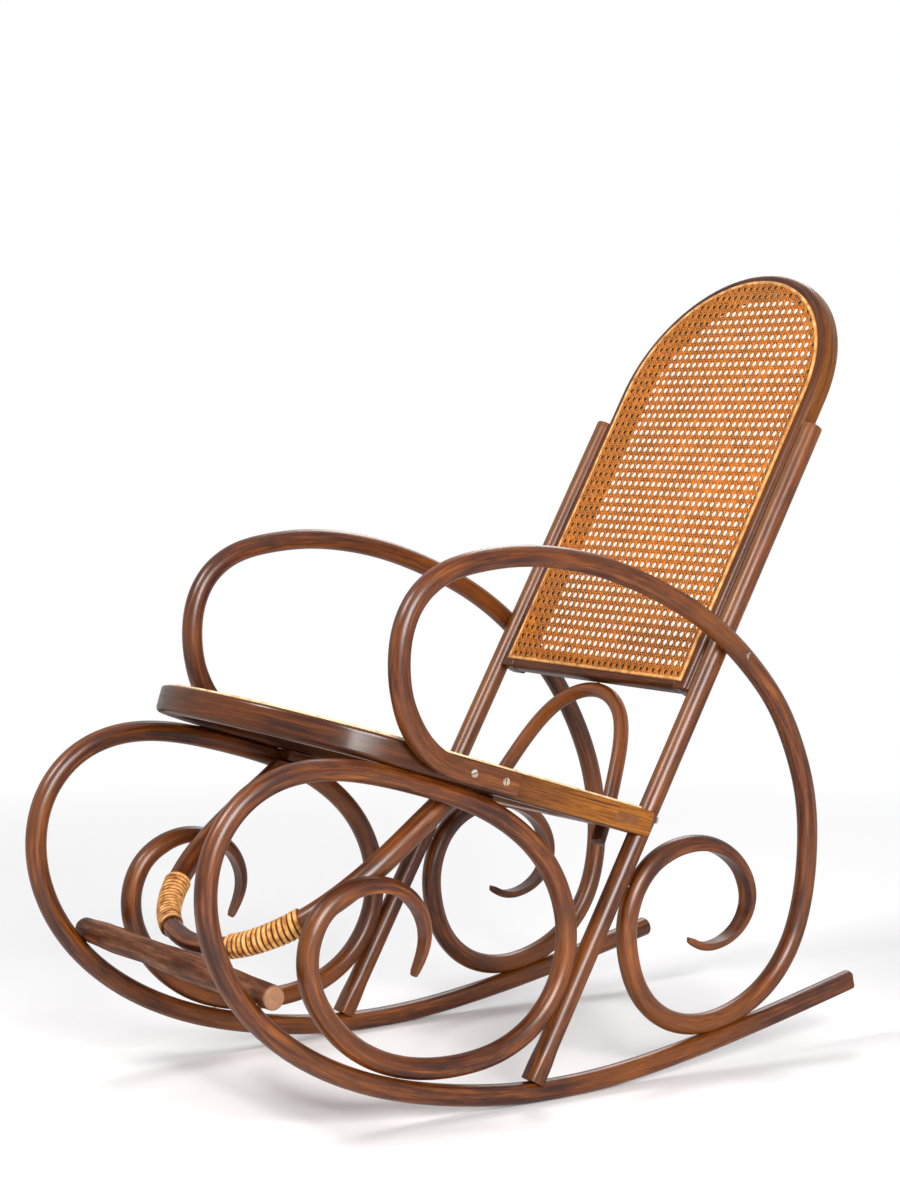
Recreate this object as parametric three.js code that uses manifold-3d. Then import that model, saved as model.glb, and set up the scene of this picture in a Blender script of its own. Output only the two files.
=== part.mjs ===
// A bentwood rocking chair: two side frames of round bent rods, a caned back between straight posts,
// a caned seat with a round front, a wound leg rest, a foot bar and a small hoop behind the seat.
// Millimetres, +Z up. The chair faces -Y and is alike on both sides of X = 0.
import * as THREE from "three";
import { mergeVertices } from "three/addons/utils/BufferGeometryUtils.js";
import Module from "manifold-3d";

const wasm = await Module();
wasm.setup();

// Driving sizes
const frameLength = 1000; // what the share tables of the side frames are shares of
const railSpan = 436; // between the middle planes of the two side frames
const rodDiameter = 27; // runners, arms and posts
const legRodDiameter = 24.5; // the leg rest's hoop, at its lowest point
const legEndDiameter = 30; // and where it meets the seat
const lumbarRodDiameter = 20; // the small hoop behind the seat
const clearance = 0.3; // between two pieces that touch
const wornFlat = 0.8; // depth of the flat that the floor has worn on each runner
const tipPower = 0.7; // how a scroll's end thins: 1 is a plain cone, less keeps it thick for longer

// Steps of a bent rod: one edge of its outline for every stepLength of it, and more where it turns
const stepLength = 74;
const stepTurn = 0.35; // radians
const rodSides = 8;

// Runner: from its rear tip along the floor, up the front, back over the loop and into the scroll.
// Each pair is how far back and how high its middle lies, as shares of the frame's length.
const runnerShares = [
  [0.532, 0.087], [0.43, 0.066], [0.33, 0.0465], [0.23, 0.03], [0.135, 0.0185], [0.045, 0.0142],
  [-0.05, 0.0187], [-0.142, 0.0325], [-0.228, 0.0545], [-0.304, 0.086], [-0.37, 0.128],
  [-0.423, 0.181], [-0.458, 0.243], [-0.47, 0.31], [-0.455, 0.372], [-0.411, 0.42],
  [-0.345, 0.442], [-0.27, 0.438], [-0.19, 0.418], [-0.11, 0.39], [-0.04, 0.351],
  [0.014, 0.297], [0.041, 0.232], [0.038, 0.168], [0.006, 0.113], [-0.05, 0.0775],
  [-0.117, 0.066], [-0.188, 0.072], [-0.257, 0.099], [-0.31, 0.148], [-0.336, 0.213],
  [-0.322, 0.267], [-0.277, 0.298], [-0.223, 0.298], [-0.181, 0.27], [-0.168, 0.228],
  [-0.186, 0.183],
];
const runnerTaperShare = 0.34; // how long the scroll's thinning end is
const scrollTipShare = 0.3; // thickness left at a scroll's tip, of the rod's

// Arm: from its flat front end on the seat, up round the front, back past the post, down and into
// its scroll. Each row's first share is 2 beside the seat, 1 beside the post and 0 in the runner's
// plane. The others are how far back and how high it lies, as shares of the frame's length.
const armShares = [
  [2, -0.053, 0.406], [2, -0.11, 0.4235], [1.8, -0.163, 0.4425], [1, -0.2, 0.475],
  [1, -0.22, 0.517], [1, -0.226, 0.562], [1, -0.22, 0.604], [1, -0.2, 0.64],
  [1, -0.164, 0.666], [1, -0.108, 0.68], [1, -0.048, 0.684], [1, 0.014, 0.679],
  [1, 0.083, 0.664], [1, 0.155, 0.638], [1, 0.226, 0.603], [1, 0.283, 0.564],
  [0.982, 0.327, 0.524], [0.895, 0.369, 0.476], [0.737, 0.404, 0.417], [0.544, 0.43, 0.35],
  [0.316, 0.441, 0.28], [0.14, 0.437, 0.207], [0.035, 0.416, 0.145], [0, 0.377, 0.1],
  [0, 0.324, 0.0725], [0, 0.264, 0.063], [0, 0.209, 0.0755], [0, 0.165, 0.112],
  [0, 0.1425, 0.165], [0, 0.1395, 0.21], [0, 0.152, 0.25], [0, 0.181, 0.283],
  [0, 0.223, 0.3], [0, 0.269, 0.3], [0, 0.313, 0.281], [0, 0.341, 0.248],
  [0, 0.347, 0.213], [0, 0.329, 0.181], [0, 0.299, 0.165], [0, 0.267, 0.164],
  [0, 0.242, 0.176],
];
const armFlatThickness = 15.6; // of the arm's front end
const armFlatShares = [0.118, 0.225]; // where the flat end starts to round, and where it is a full rod
const armTaperShare = 0.52; // how long the arm's thinning end is
const armPast = 1.5; // from the post's side to the arm's

// Posts and back
const postFootShare = [-0.011, 0.024]; // back and up, of the frame's length
const postLean = THREE.MathUtils.degToRad(29.6);
const postLength = 936;
const frameFront = 10.5; // front of the back's frame, ahead of the posts' middles
const frameRear = 18; // its rear, behind them
const frameWood = 29; // width of the frame's side
const backRailUp = 541; // lower edge of the back's bottom rail, along the posts
const backRailHeight = 28;
// Outline of the frame's stick: ahead of the posts' middles as shares of frameFront, or behind them
// as shares of frameRear, and outwards from the stick's own middle as shares of half its width
const stickShares = [
  [1, -1], [1, 0.3], [0.86, 0.66], [0.4, 0.93], [-0.117, 1], [-0.7, 1], [-1, 0.7], [-1, -1],
];
// Outline of the bottom rail: up from its lower edge, and ahead or behind in the same way
const backRailShares = [[0, 0.3], [0.22, 1], [1, 1], [1, -0.75], [0, -0.75]];
const backScrewPast = 99; // from the bottom rail's lower edge to the lower screws of the frame
const backScrewShort = 46; // from the posts' upper ends to the upper ones
const archSpring = 984; // where the arch starts, along the posts
const archRise = 194; // from there to the top
const caneThickness = 1.6;
const caneOpenShare = 0.224; // how much of the weave is open
const gridAcross = 7; // openings from side to side of each panel of cane
const borderWidth = 5; // of the raised border round each panel of cane
const borderHeight = 4;
const borderSunk = 1.4; // how deep it is let in
const borderInset = 15.5; // from the frame's outer side to the border's outer edge
const borderRailInset = 10.5; // from the bottom rail's lower edge to the border's

// Seat, whose top slopes down to the rear
const seatSlope = THREE.MathUtils.degToRad(17.6);
const seatRearShare = [0.172, 0.3512]; // its top's rear end: back and up, of the frame's length
const seatLength = 569;
const seatRound = 225; // depth of the round front
const seatPast = 17; // how far the seat's sides stand out from the side frames' middle planes
const seatWood = 30; // width of its sides
const seatThickness = 34;
const seatBevel = 4;
const rearRailAt = 42; // from the seat's rear end to the middle of the rear rail's tenons
const rearRailWidth = 48;
const rearRailThickness = 24;
const tenonWidth = 36;
const tenonThickness = 13;
const seatBorderInset = 8; // from the seat's side to its border
const seatCaneRearInset = 16; // from the seat's rear end to its border

// Leg rest: its plane runs down to the front through a point given by its shares of the frame's
// length. Pairs are how far out, of half its width, and how far down the plane, of frameLength.
const legPlaneShare = [-0.3118, 0.2462];
const legPlaneSlope = THREE.MathUtils.degToRad(36.1);
const legPast = 1.5; // between the leg rest and a runner
const legShares = [
  [1, -0.27], [1, -0.173], [0.995, -0.122], [0.968, -0.084], [0.91, -0.046],
  [0.803, -0.009], [0.628, 0.027], [0.4255, 0.05], [0.2128, 0.061], [0, 0.065],
];
const windingTurns = 15;
const windingSteps = 10; // of one turn
const windingGap = 1.4; // between one turn and the next, along the hoop
const windingStart = 75; // along the hoop from its lowest point
const strandWidth = 5.6;
const strandThickness = 2.6;
// The strand's section, as shares of half its thickness and half its width
const strandShares = [[1, 0.6], [1, -0.6], [0, -1], [-1, -0.6], [-1, 0.6], [0, 1]];

// Foot bar
const footBarAtShare = [-0.3925, 0.189]; // back and up, of the frame's length
const footBarPast = 8.5; // how far each end stands out past its runner
const footBarEndRadius = 14.5;
// Radii along the bar from the right end to the left, as shares of its end's radius
const footBarShares = [1.0, 1.12, 1.18, 1.14, 1.06, 1.12, 1.18, 1.2, 1.16, 1.1, 1.05, 1.0];
const footBarRounding = 3;

// Hoop behind the seat: pairs are how far out, of half its width, and how far up, from its feet at 0
// to the middle of its top at 1
const lumbarBehind = 11; // behind the posts' middles
const lumbarHalfWidth = 135;
const lumbarHang = 20; // how far its feet reach below the seat, along the posts
const lumbarShares = [
  [1, 0], [0.933, 0.228], [0.837, 0.4466], [0.7185, 0.6603], [0.526, 0.8551], [0.267, 0.9667],
  [0, 1],
];

// Blocks under the seat that the leg rest's ends meet
const blockBehind = 23; // from where the leg rest's middle line meets a block to the block's middle
const blockLength = 56;
const blockWidth = 34;
const blockOutShare = 0.2; // of the block's width, under the seat's side
const blockThickness = 16;

// Screws
const screwHeadRadius = 4.4;
const screwShankRadius = 2;
const screwHeadHeight = 2.6;
const screwSides = 6;
const screwProud = 0.5; // how far a head stands out of its seat
const slotWidth = 1.2;
const slotDepth = 1.1;
const armScrewShares = [0.022, 0.071]; // where the arm's two front screws are, of frameLength
const armPostScrewShare = 0.893; // where the screw from the arm into the post is, of frameLength
const loopScrewShare = 0.62; // where the runner's loop meets the seat, of the seat's length
const legScrewBehind = 8; // from where the leg rest's middle line meets a block to its screw
// Lengths of the screws, as shares of what each goes through: the arm's flat end, the rods, the
// back's frame, the small hoop and the leg rest
const screwLengthShares = {
  armFront: 2, armPost: 1.3, across: 1.35, postFoot: 1.5, seatLoop: 1.6, seatPost: 1.5, frame: 1.4,
  lumbarFoot: 1.9, lumbarTop: 1.6, leg: 0.85,
};
const reach = 60; // how far a cutter runs past what it cuts

// Finishes
const wood = new THREE.MeshStandardMaterial({ color: 0x6b3418, roughness: 0.28, metalness: 0 });
const wornWood = new THREE.MeshStandardMaterial({ color: 0x7a5036, roughness: 0.55, metalness: 0 });
const cane = new THREE.MeshStandardMaterial({ color: 0xc98a4b, roughness: 0.6, metalness: 0 });
const paleCane = new THREE.MeshStandardMaterial({ color: 0xdcae6e, roughness: 0.5, metalness: 0 });
const steel = new THREE.MeshStandardMaterial({ color: 0xb9b4a8, roughness: 0.35, metalness: 0.9 });

const side = railSpan / 2;
const seatHalfWidth = side + seatPast;
const rodRadius = rodDiameter / 2;
const acrossX = new THREE.Vector3(1, 0, 0);

// Lines

// The middle line of a bent rod: a natural cubic spline through its points, spaced by their chords.
class BentLine extends THREE.Curve {
  constructor(points) {
    super();
    this.points = points;
    this.at = [0];
    points.slice(1).forEach((p, i) => this.at.push(this.at[i] + p.distanceTo(points[i])));
    this.bend = BentLine.bends(points, this.at);
  }

  // Second derivatives at the points, zero at both ends.
  static bends(points, at) {
    const last = points.length - 1;
    const bend = points.map(() => new THREE.Vector3());
    const share = [0];
    for (let i = 1; i < last; i++) {
      const before = at[i] - at[i - 1];
      const after = at[i + 1] - at[i];
      const pull = 2 * (before + after) - before * share[i - 1];
      const turn = points[i + 1].clone().sub(points[i]).divideScalar(after)
        .sub(points[i].clone().sub(points[i - 1]).divideScalar(before)).multiplyScalar(6);
      bend[i].copy(turn).addScaledVector(bend[i - 1], -before).divideScalar(pull);
      share.push(after / pull);
    }
    for (let i = last - 1; i > 0; i--) bend[i].addScaledVector(bend[i + 1], -share[i]);
    return bend;
  }

  getPoint(t, target = new THREE.Vector3()) {
    const place = t * this.at[this.at.length - 1];
    let i = 0;
    while (i < this.at.length - 2 && place > this.at[i + 1]) i++;
    const span = this.at[i + 1] - this.at[i];
    const b = (place - this.at[i]) / span;
    const a = 1 - b;
    return target.set(0, 0, 0)
      .addScaledVector(this.points[i], a)
      .addScaledVector(this.points[i + 1], b)
      .addScaledVector(this.bend[i], ((a * a * a - a) * span * span) / 6)
      .addScaledVector(this.bend[i + 1], ((b * b * b - b) * span * span) / 6);
  }
}

// Points along a line, closer together where it turns, with how far along each of them lies.
function stopsAlong(line, fine = 900) {
  const points = line.getSpacedPoints(fine);
  const piece = line.getLength() / fine;
  const stops = [{ point: points[0], along: 0 }];
  let used = 0;
  for (let i = 1; i < fine; i++) {
    const turn = points[i].clone().sub(points[i - 1])
      .angleTo(points[i + 1].clone().sub(points[i]));
    used += piece / stepLength + turn / stepTurn;
    if (used >= 1) {
      stops.push({ point: points[i], along: i * piece });
      used = 0;
    }
  }
  if (used < 1 / 2 && stops.length > 2) stops.pop();
  stops.push({ point: points[fine], along: fine * piece });
  return stops;
}

// Solids

// A polygon with as much area as the circle of radius one.
function roundSection(sides) {
  const grown = Math.sqrt(Math.PI / ((sides / 2) * Math.sin((2 * Math.PI) / sides)));
  return Array.from({ length: sides }, (_, k) => {
    const angle = ((k + 1 / 2) * 2 * Math.PI) / sides;
    return [grown * Math.cos(angle), grown * Math.sin(angle)];
  });
}

// A closed skin over rings of points that all have the same count.
function skin(rings, closed = false) {
  const count = rings[0].length;
  const position = rings.flat().flatMap((p) => [p.x, p.y, p.z]);
  const index = [];
  const join = (a, b) => {
    for (let k = 0; k < count; k++) {
      const next = (k + 1) % count;
      index.push(a * count + k, b * count + k, b * count + next);
      index.push(a * count + k, b * count + next, a * count + next);
    }
  };
  for (let i = 0; i + 1 < rings.length; i++) join(i, i + 1);
  if (closed) join(rings.length - 1, 0);
  else {
    const last = (rings.length - 1) * count;
    for (let k = 1; k + 1 < count; k++) {
      index.push(0, k, k + 1);
      index.push(last, last + k + 1, last + k);
    }
  }
  const geometry = new THREE.BufferGeometry();
  geometry.setAttribute("position", new THREE.Float32BufferAttribute(position, 3));
  geometry.setIndex(index);
  return outwards(geometry);
}

// Turns every face round where the skin's volume comes out below zero.
function outwards(geometry) {
  const p = geometry.getAttribute("position");
  const index = geometry.getIndex().array;
  const [a, b, c] = [0, 1, 2].map(() => new THREE.Vector3());
  let volume = 0;
  for (let i = 0; i < index.length; i += 3) {
    a.fromBufferAttribute(p, index[i]);
    b.fromBufferAttribute(p, index[i + 1]);
    c.fromBufferAttribute(p, index[i + 2]);
    volume += a.dot(b.cross(c));
  }
  if (volume < 0)
    for (let i = 0; i < index.length; i += 3)
      [index[i + 1], index[i + 2]] = [index[i + 2], index[i + 1]];
  return geometry;
}

// A section carried along points. Its first measure lies along `across`, its second square to it.
function sweep(points, across, sectionAt) {
  const rings = points.map((point, i) => {
    const before = points[Math.max(i - 1, 0)];
    const after = points[Math.min(i + 1, points.length - 1)];
    const ahead = after.clone().sub(before).normalize();
    const wide = across.clone().addScaledVector(ahead, -across.dot(ahead)).normalize();
    const deep = ahead.clone().cross(wide);
    return sectionAt(i).map(([a, b]) =>
      point.clone().addScaledVector(wide, a).addScaledVector(deep, b));
  });
  return skin(rings);
}

// How far out a surface is moved so that its flats clear the real surface by `gap`.
const offFlats = (gap, sides = rodSides) => gap / Math.cos(Math.PI / sides);

// A solid round rod along a line. `thin` gives its two half measures at a distance along the line.
function rod(line, across, halves, grow = 0) {
  const stops = stopsAlong(line);
  const unit = roundSection(rodSides);
  return sweep(stops.map((s) => s.point), across, (i) => {
    const [a, b] = halves(stops[i].along);
    return unit.map(([p, q]) => [p * (a + offFlats(grow)), q * (b + offFlats(grow))]);
  });
}

// A straight round bar between two points.
function bar(from, to, radius, grow = 0) {
  const ahead = to.clone().sub(from).normalize();
  const across = Math.abs(ahead.x) > 1 / 2 ? new THREE.Vector3(0, 0, 1) : acrossX;
  return sweep([from, to], across, () =>
    roundSection(rodSides).map(([p, q]) => [
      p * (radius + offFlats(grow)),
      q * (radius + offFlats(grow)),
    ]));
}

function solidOf(geometry) {
  const bare = geometry.clone();
  bare.deleteAttribute("normal");
  bare.deleteAttribute("uv");
  const merged = mergeVertices(bare, clearance / 100);
  return new wasm.Manifold(new wasm.Mesh({
    numProp: 3,
    vertProperties: merged.getAttribute("position").array,
    triVerts: new Uint32Array(merged.index.array),
  }));
}

function geometryOf(solid) {
  const made = solid.getMesh();
  const geometry = new THREE.BufferGeometry();
  const position = new Float32Array(made.numVert * 3);
  for (let i = 0; i < made.numVert; i++)
    position.set(made.vertProperties.subarray(i * made.numProp, i * made.numProp + 3), i * 3);
  geometry.setAttribute("position", new THREE.BufferAttribute(position, 3));
  geometry.setIndex(new THREE.BufferAttribute(new Uint32Array(made.triVerts), 1));
  return geometry;
}

// The same geometry on the chair's other side.
function mirrored(geometry) {
  const copy = geometry.clone().applyMatrix4(new THREE.Matrix4().makeScale(-1, 1, 1));
  return outwards(copy);
}

// Pieces under their names, as solids that later cuts change.
const pieces = new Map();
const keep = (name, geometry, material) => pieces.set(name, { solid: solidOf(geometry), material });
const cut = (name, geometry) => {
  const piece = pieces.get(name);
  piece.solid = piece.solid.subtract(solidOf(geometry));
};
const cutBoth = (name, geometry) => {
  cut(name, geometry);
  cut(name, mirrored(geometry));
};

// Side frame
const onFrame = ([back, up], out = side) =>
  new THREE.Vector3(out, back * frameLength, up * frameLength);
const runnerLine = new BentLine(runnerShares.map((shares) => onFrame(shares)));
const besidePost = rodDiameter + armPast;
const besideSeat = seatPast + clearance + armFlatThickness / 2;
const armOut = (share) =>
  side + (share > 1 ? THREE.MathUtils.lerp(besidePost, besideSeat, share - 1) : besidePost * share);
const armLine = new BentLine(armShares.map(([out, ...shares]) => onFrame(shares, armOut(out))));
const runnerLength = runnerLine.getLength();
const armLength = armLine.getLength();

// A rod's radius where it thins towards a tip, with the tip itself rounded off.
function tapered(along, whole, taper) {
  const left = Math.max(whole - along, 0);
  const thin = Math.min(left / taper, 1);
  const radius = rodRadius * (scrollTipShare + (1 - scrollTipShare) * Math.pow(thin, tipPower));
  return left === 0 ? radius / 2 : radius;
}
const runnerHalves = (along) => {
  const r = tapered(along, runnerLength, runnerTaperShare * frameLength);
  return [r, r];
};
const armHalves = (along) => {
  const r = tapered(along, armLength, armTaperShare * frameLength);
  const [flat, full] = armFlatShares.map((share) => share * frameLength);
  const round = THREE.MathUtils.smoothstep(along, flat, full);
  return [THREE.MathUtils.lerp(armFlatThickness / 2, r, round), r];
};
const runner = (grow) => rod(runnerLine, acrossX, runnerHalves, grow);
const arm = (grow) => rod(armLine, acrossX, armHalves, grow);

// Back's frame of reference: out to the chair's left, up along the posts, and out of its front face
const upPost = new THREE.Vector3(0, Math.sin(postLean), Math.cos(postLean));
const outFront = new THREE.Vector3(0, -Math.cos(postLean), Math.sin(postLean));
const onBack = (out, up, front) => onFrame(postFootShare, out)
  .addScaledVector(upPost, up).addScaledVector(outFront, front);
const postFrom = onBack(side, -rodRadius / 2, 0);
const postTo = onBack(side, postLength, 0);
const post = (grow) => bar(postFrom, postTo, rodRadius, grow);

// Seat's frame of reference: out, rearwards along its top, and up from it; zero at its rear end
const rearwards = new THREE.Vector3(0, Math.cos(seatSlope), -Math.sin(seatSlope));
const upSeat = new THREE.Vector3(0, Math.sin(seatSlope), Math.cos(seatSlope));
const onSeat = (out, back, up) => onFrame(seatRearShare, out)
  .addScaledVector(rearwards, back).addScaledVector(upSeat, up);

// Puts a shape drawn on X and Y onto a plane, with its thickness along the plane's normal.
function onPlane(geometry, origin, u, v) {
  const n = u.clone().cross(v);
  const place = new THREE.Matrix4().makeBasis(u, v, n).setPosition(origin);
  geometry.applyMatrix4(place);
  return geometry;
}
const plate = (shape, depth, curveSegments = 14) =>
  new THREE.ExtrudeGeometry(shape, { depth, bevelEnabled: false, curveSegments });

keep("runner_left", runner(0), wood);
const lowest = pieces.get("runner_left").solid.boundingBox().min[2];
const floor = new THREE.BoxGeometry(2 * rodDiameter, frameLength, 2 * rodDiameter);
floor.translate(side, 0, lowest + wornFlat - rodDiameter);
cut("runner_left", floor);
keep("arm_left", arm(0), wood);
keep("back_post_left", post(0), wood);
cut("back_post_left", runner(clearance));
cut("arm_left", runner(clearance));
cut("arm_left", post(clearance));

// Seat hoop: straight sides and a round front, bevelled along its edges
function seatOutline(inset, rear, path = new THREE.Shape()) {
  const half = seatHalfWidth - inset;
  const roundAt = -(seatLength - seatRound);
  path.moveTo(half, rear);
  path.lineTo(-half, rear);
  path.lineTo(-half, roundAt);
  path.absellipse(0, roundAt, half, seatRound - inset, Math.PI, 2 * Math.PI, false);
  path.closePath();
  return path;
}
function seatHoopShape() {
  const outer = seatHalfWidth - seatBevel;
  const inner = seatHalfWidth - seatWood + seatBevel;
  const innerRise = seatRound - seatWood + seatBevel;
  const roundAt = -(seatLength - seatRound);
  const shape = new THREE.Shape();
  shape.moveTo(outer, -seatBevel);
  shape.lineTo(inner, -seatBevel);
  shape.lineTo(inner, roundAt);
  shape.absellipse(0, roundAt, inner, innerRise, 0, -Math.PI, true);
  shape.lineTo(-inner, -seatBevel);
  shape.lineTo(-outer, -seatBevel);
  shape.lineTo(-outer, roundAt);
  shape.absellipse(0, roundAt, outer, seatRound - seatBevel, Math.PI, 2 * Math.PI, false);
  return shape;
}
const seatHoop = new THREE.ExtrudeGeometry(seatHoopShape(), {
  depth: seatThickness - 2 * seatBevel,
  bevelEnabled: true,
  bevelSize: seatBevel,
  bevelThickness: seatBevel,
  bevelSegments: 1,
  curveSegments: 14,
});
keep("seat_hoop",
  onPlane(seatHoop, onSeat(0, 0, seatBevel - seatThickness), acrossX, rearwards), wood);
cutBoth("seat_hoop", post(clearance));
cutBoth("seat_hoop", runner(clearance));
cut("arm_left", geometryOf(solidOf(onPlane(
  plate(seatOutline(-clearance, seatBevel), seatThickness + 2 * clearance),
  onSeat(0, 0, -seatThickness - clearance), acrossX, rearwards))));

// A rectangular block on the seat's frame of reference.
function seatBlock(outFrom, outTo, middle, width, upFrom, upTo, grow = 0) {
  const block = new THREE.BoxGeometry(
    outTo - outFrom + 2 * grow, width + 2 * grow, upTo - upFrom + 2 * grow);
  const origin = onSeat((outFrom + outTo) / 2, middle, (upFrom + upTo) / 2);
  return onPlane(block, origin, acrossX, rearwards);
}

// Rear rail of the seat, with a through tenon in each side
const railMiddle = -seatThickness / 2;
const bodyHalf = seatHalfWidth - seatWood - clearance;
const tenonHalf = seatHalfWidth - clearance;
const shoulder = rearRailWidth - tenonWidth;
const railBody = seatBlock(-bodyHalf, bodyHalf, -rearRailAt + shoulder, rearRailWidth + shoulder,
  railMiddle - rearRailThickness / 2, railMiddle + rearRailThickness / 2);
const railTenon = (half, grow) => seatBlock(-half, half, -rearRailAt, tenonWidth,
  railMiddle - tenonThickness / 2, railMiddle + tenonThickness / 2, grow);
pieces.set("seat_rear_rail", {
  solid: solidOf(railBody).add(solidOf(railTenon(tenonHalf, 0))),
  material: wood,
});
cut("seat_hoop", railTenon(seatHalfWidth + reach, clearance));

// Cane of the seat, inside a raised border that runs round it
const seatCaneRear = -seatCaneRearInset;
function ringShape(outline, outerInset, outerRear, innerInset, innerRear) {
  const shape = outline(outerInset, outerRear);
  shape.holes.push(outline(innerInset, innerRear, new THREE.Path()));
  return shape;
}
const seatRing = (grow) => onPlane(
  plate(ringShape(seatOutline, seatBorderInset - grow, seatCaneRear + grow,
    seatBorderInset + borderWidth + grow, seatCaneRear - borderWidth - grow),
  borderHeight + 2 * grow),
  onSeat(0, 0, -borderSunk - grow), acrossX, rearwards);
keep("seat_cane_border", seatRing(0), paleCane);
cut("seat_hoop", seatRing(clearance));
const seatPanelInset = seatBorderInset + borderWidth + clearance;
const seatPanelRear = seatCaneRear - borderWidth - clearance;

keep("seat_cane_panel", onPlane(
  plate(seatOutline(seatPanelInset, seatPanelRear), caneThickness),
  onSeat(0, 0, clearance), acrossX, rearwards), cane);

// Opens a panel in a plain grid, as open as the weave. The panel runs from a straight foot, between
// straight sides, to a half ellipse that starts at `spring`; `way` is 1 where it runs upwards.
function openGrid(name, onPanel, upwards, half, foot, spring, rise, way) {
  const pitch = (2 * half) / gridAcross;
  const openHalf = (pitch * Math.sqrt(caneOpenShare)) / 2;
  const edge = (pitch / 2 - openHalf) / 2;
  const rows = Math.floor((way * (spring - foot) + rise) / pitch);
  for (let row = 0; row < rows; row++) {
    const along = foot + way * pitch * (row + 1 / 2);
    const past = Math.max(way * (along - spring) + openHalf + edge, 0);
    for (let column = 0; column < gridAcross; column++) {
      const out = pitch * (column + 1 / 2) - half;
      const far = Math.abs(out) + openHalf + edge;
      const opening = new THREE.BoxGeometry(2 * openHalf, 2 * openHalf, 2 * borderHeight);
      onPlane(opening, onPanel(out, along), acrossX, upwards);
      if (Math.hypot(far / half, past / rise) < 1) cut(name, opening);
    }
  }
}
openGrid("seat_cane_panel", (out, along) => onSeat(out, along, 0), rearwards,
  seatHalfWidth - seatPanelInset, seatPanelRear, seatRound - seatLength,
  seatRound - seatPanelInset, -1);

// The border's rear stretch lies on a strip of the rear rail that reaches up to it
const stripUp = -borderSunk - clearance;
const strip = seatBlock(-bodyHalf, bodyHalf, seatCaneRear - borderWidth, borderWidth * 4,
  railMiddle, stripUp);
pieces.get("seat_rear_rail").solid = pieces.get("seat_rear_rail").solid.add(solidOf(strip));

// Back's frame: one stick from its left foot over the arch to its right foot
const frameHalf = side - rodRadius - clearance;
function archPoints(foot) {
  const half = frameHalf - frameWood / 2;
  const rise = archRise - frameWood / 2;
  const arcSteps = 20;
  const points = [[half, foot], [half, (foot + archSpring) / 2]];
  for (let k = 0; k <= arcSteps; k++) {
    const angle = (k * Math.PI) / arcSteps;
    points.push([half * Math.cos(angle), archSpring + rise * Math.sin(angle)]);
  }
  points.push([-half, (foot + archSpring) / 2], [-half, foot]);
  return points.map(([out, up]) => onBack(out, up, 0));
}
// Section of the stick: ahead of the posts' middles, and outwards from its own middle
const stickHalf = frameWood / 2;
const fromPosts = (share) => share * (share > 0 ? frameFront : frameRear);
const stickSection = stickShares.map(([ahead, out]) => [fromPosts(ahead), out * stickHalf]);
keep("back_frame", sweep(archPoints(backRailUp), outFront, () => stickSection), wood);
cutBoth("back_frame", post(clearance));

// Bottom rail of the back, between the frame's feet, with a round lower front edge
const railHalf = frameHalf - frameWood - clearance;
const backRail = skin([-railHalf, railHalf].map((out) => backRailShares.map(([up, ahead]) =>
  onBack(out, backRailUp + up * backRailHeight, fromPosts(ahead)))));
keep("back_bottom_rail", backRail, wood);

// Cane of the back and its border
function backOutline(inset, foot, path = new THREE.Shape()) {
  const half = frameHalf - inset;
  path.moveTo(-half, foot);
  path.lineTo(half, foot);
  path.lineTo(half, archSpring);
  path.absellipse(0, archSpring, half, archRise - inset, 0, Math.PI, false);
  path.closePath();
  return path;
}
const caneRailUp = backRailUp + borderRailInset;
const backRing = (grow) => onPlane(
  plate(ringShape(backOutline, borderInset - grow, caneRailUp - grow,
    borderInset + borderWidth + grow, caneRailUp + borderWidth + grow), borderHeight + 2 * grow),
  onBack(0, 0, frameFront - borderSunk - grow), acrossX, upPost);
keep("back_cane_border", backRing(0), paleCane);
cut("back_frame", backRing(clearance));
cut("back_bottom_rail", backRing(clearance));
const backPanelInset = borderInset + borderWidth + clearance;
const backPanelFoot = caneRailUp + borderWidth + clearance;
keep("back_cane_panel", onPlane(
  plate(backOutline(backPanelInset, backPanelFoot), caneThickness),
  onBack(0, 0, frameFront + clearance), acrossX, upPost), cane);
openGrid("back_cane_panel", (out, along) => onBack(out, along, frameFront), upPost,
  frameHalf - backPanelInset, backPanelFoot, archSpring, archRise - backPanelInset, 1);

// Leg rest
const downLeg = new THREE.Vector3(0, -Math.cos(legPlaneSlope), -Math.sin(legPlaneSlope));
const legNormal = acrossX.clone().cross(downLeg);
const legHalfWidth = side - rodRadius - legPast - legEndDiameter / 2;
const onLeg = ([out, down]) => onFrame(legPlaneShare, out * legHalfWidth)
  .addScaledVector(downLeg, down * frameLength);
const bothSides = (shares) => shares.concat(
  shares.slice(0, -1).reverse().map(([out, other]) => [-out, other]));
const legLine = new BentLine(bothSides(legShares).map(onLeg));
const windingPitch = strandWidth + windingGap;
const legFullAt = 2 * windingStart + windingTurns * windingPitch;
const legRadiusAt = (fromMiddle) => THREE.MathUtils.lerp(legRodDiameter / 2, legEndDiameter / 2,
  THREE.MathUtils.smoothstep(fromMiddle, windingStart, legFullAt));
const legHalves = (along) => {
  const radius = legRadiusAt(Math.abs(along - legLine.getLength() / 2));
  return [radius, radius];
};
const legHoop = (grow) => rod(legLine, legNormal, legHalves, grow);
keep("leg_rest_hoop", legHoop(0), wood);

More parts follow.
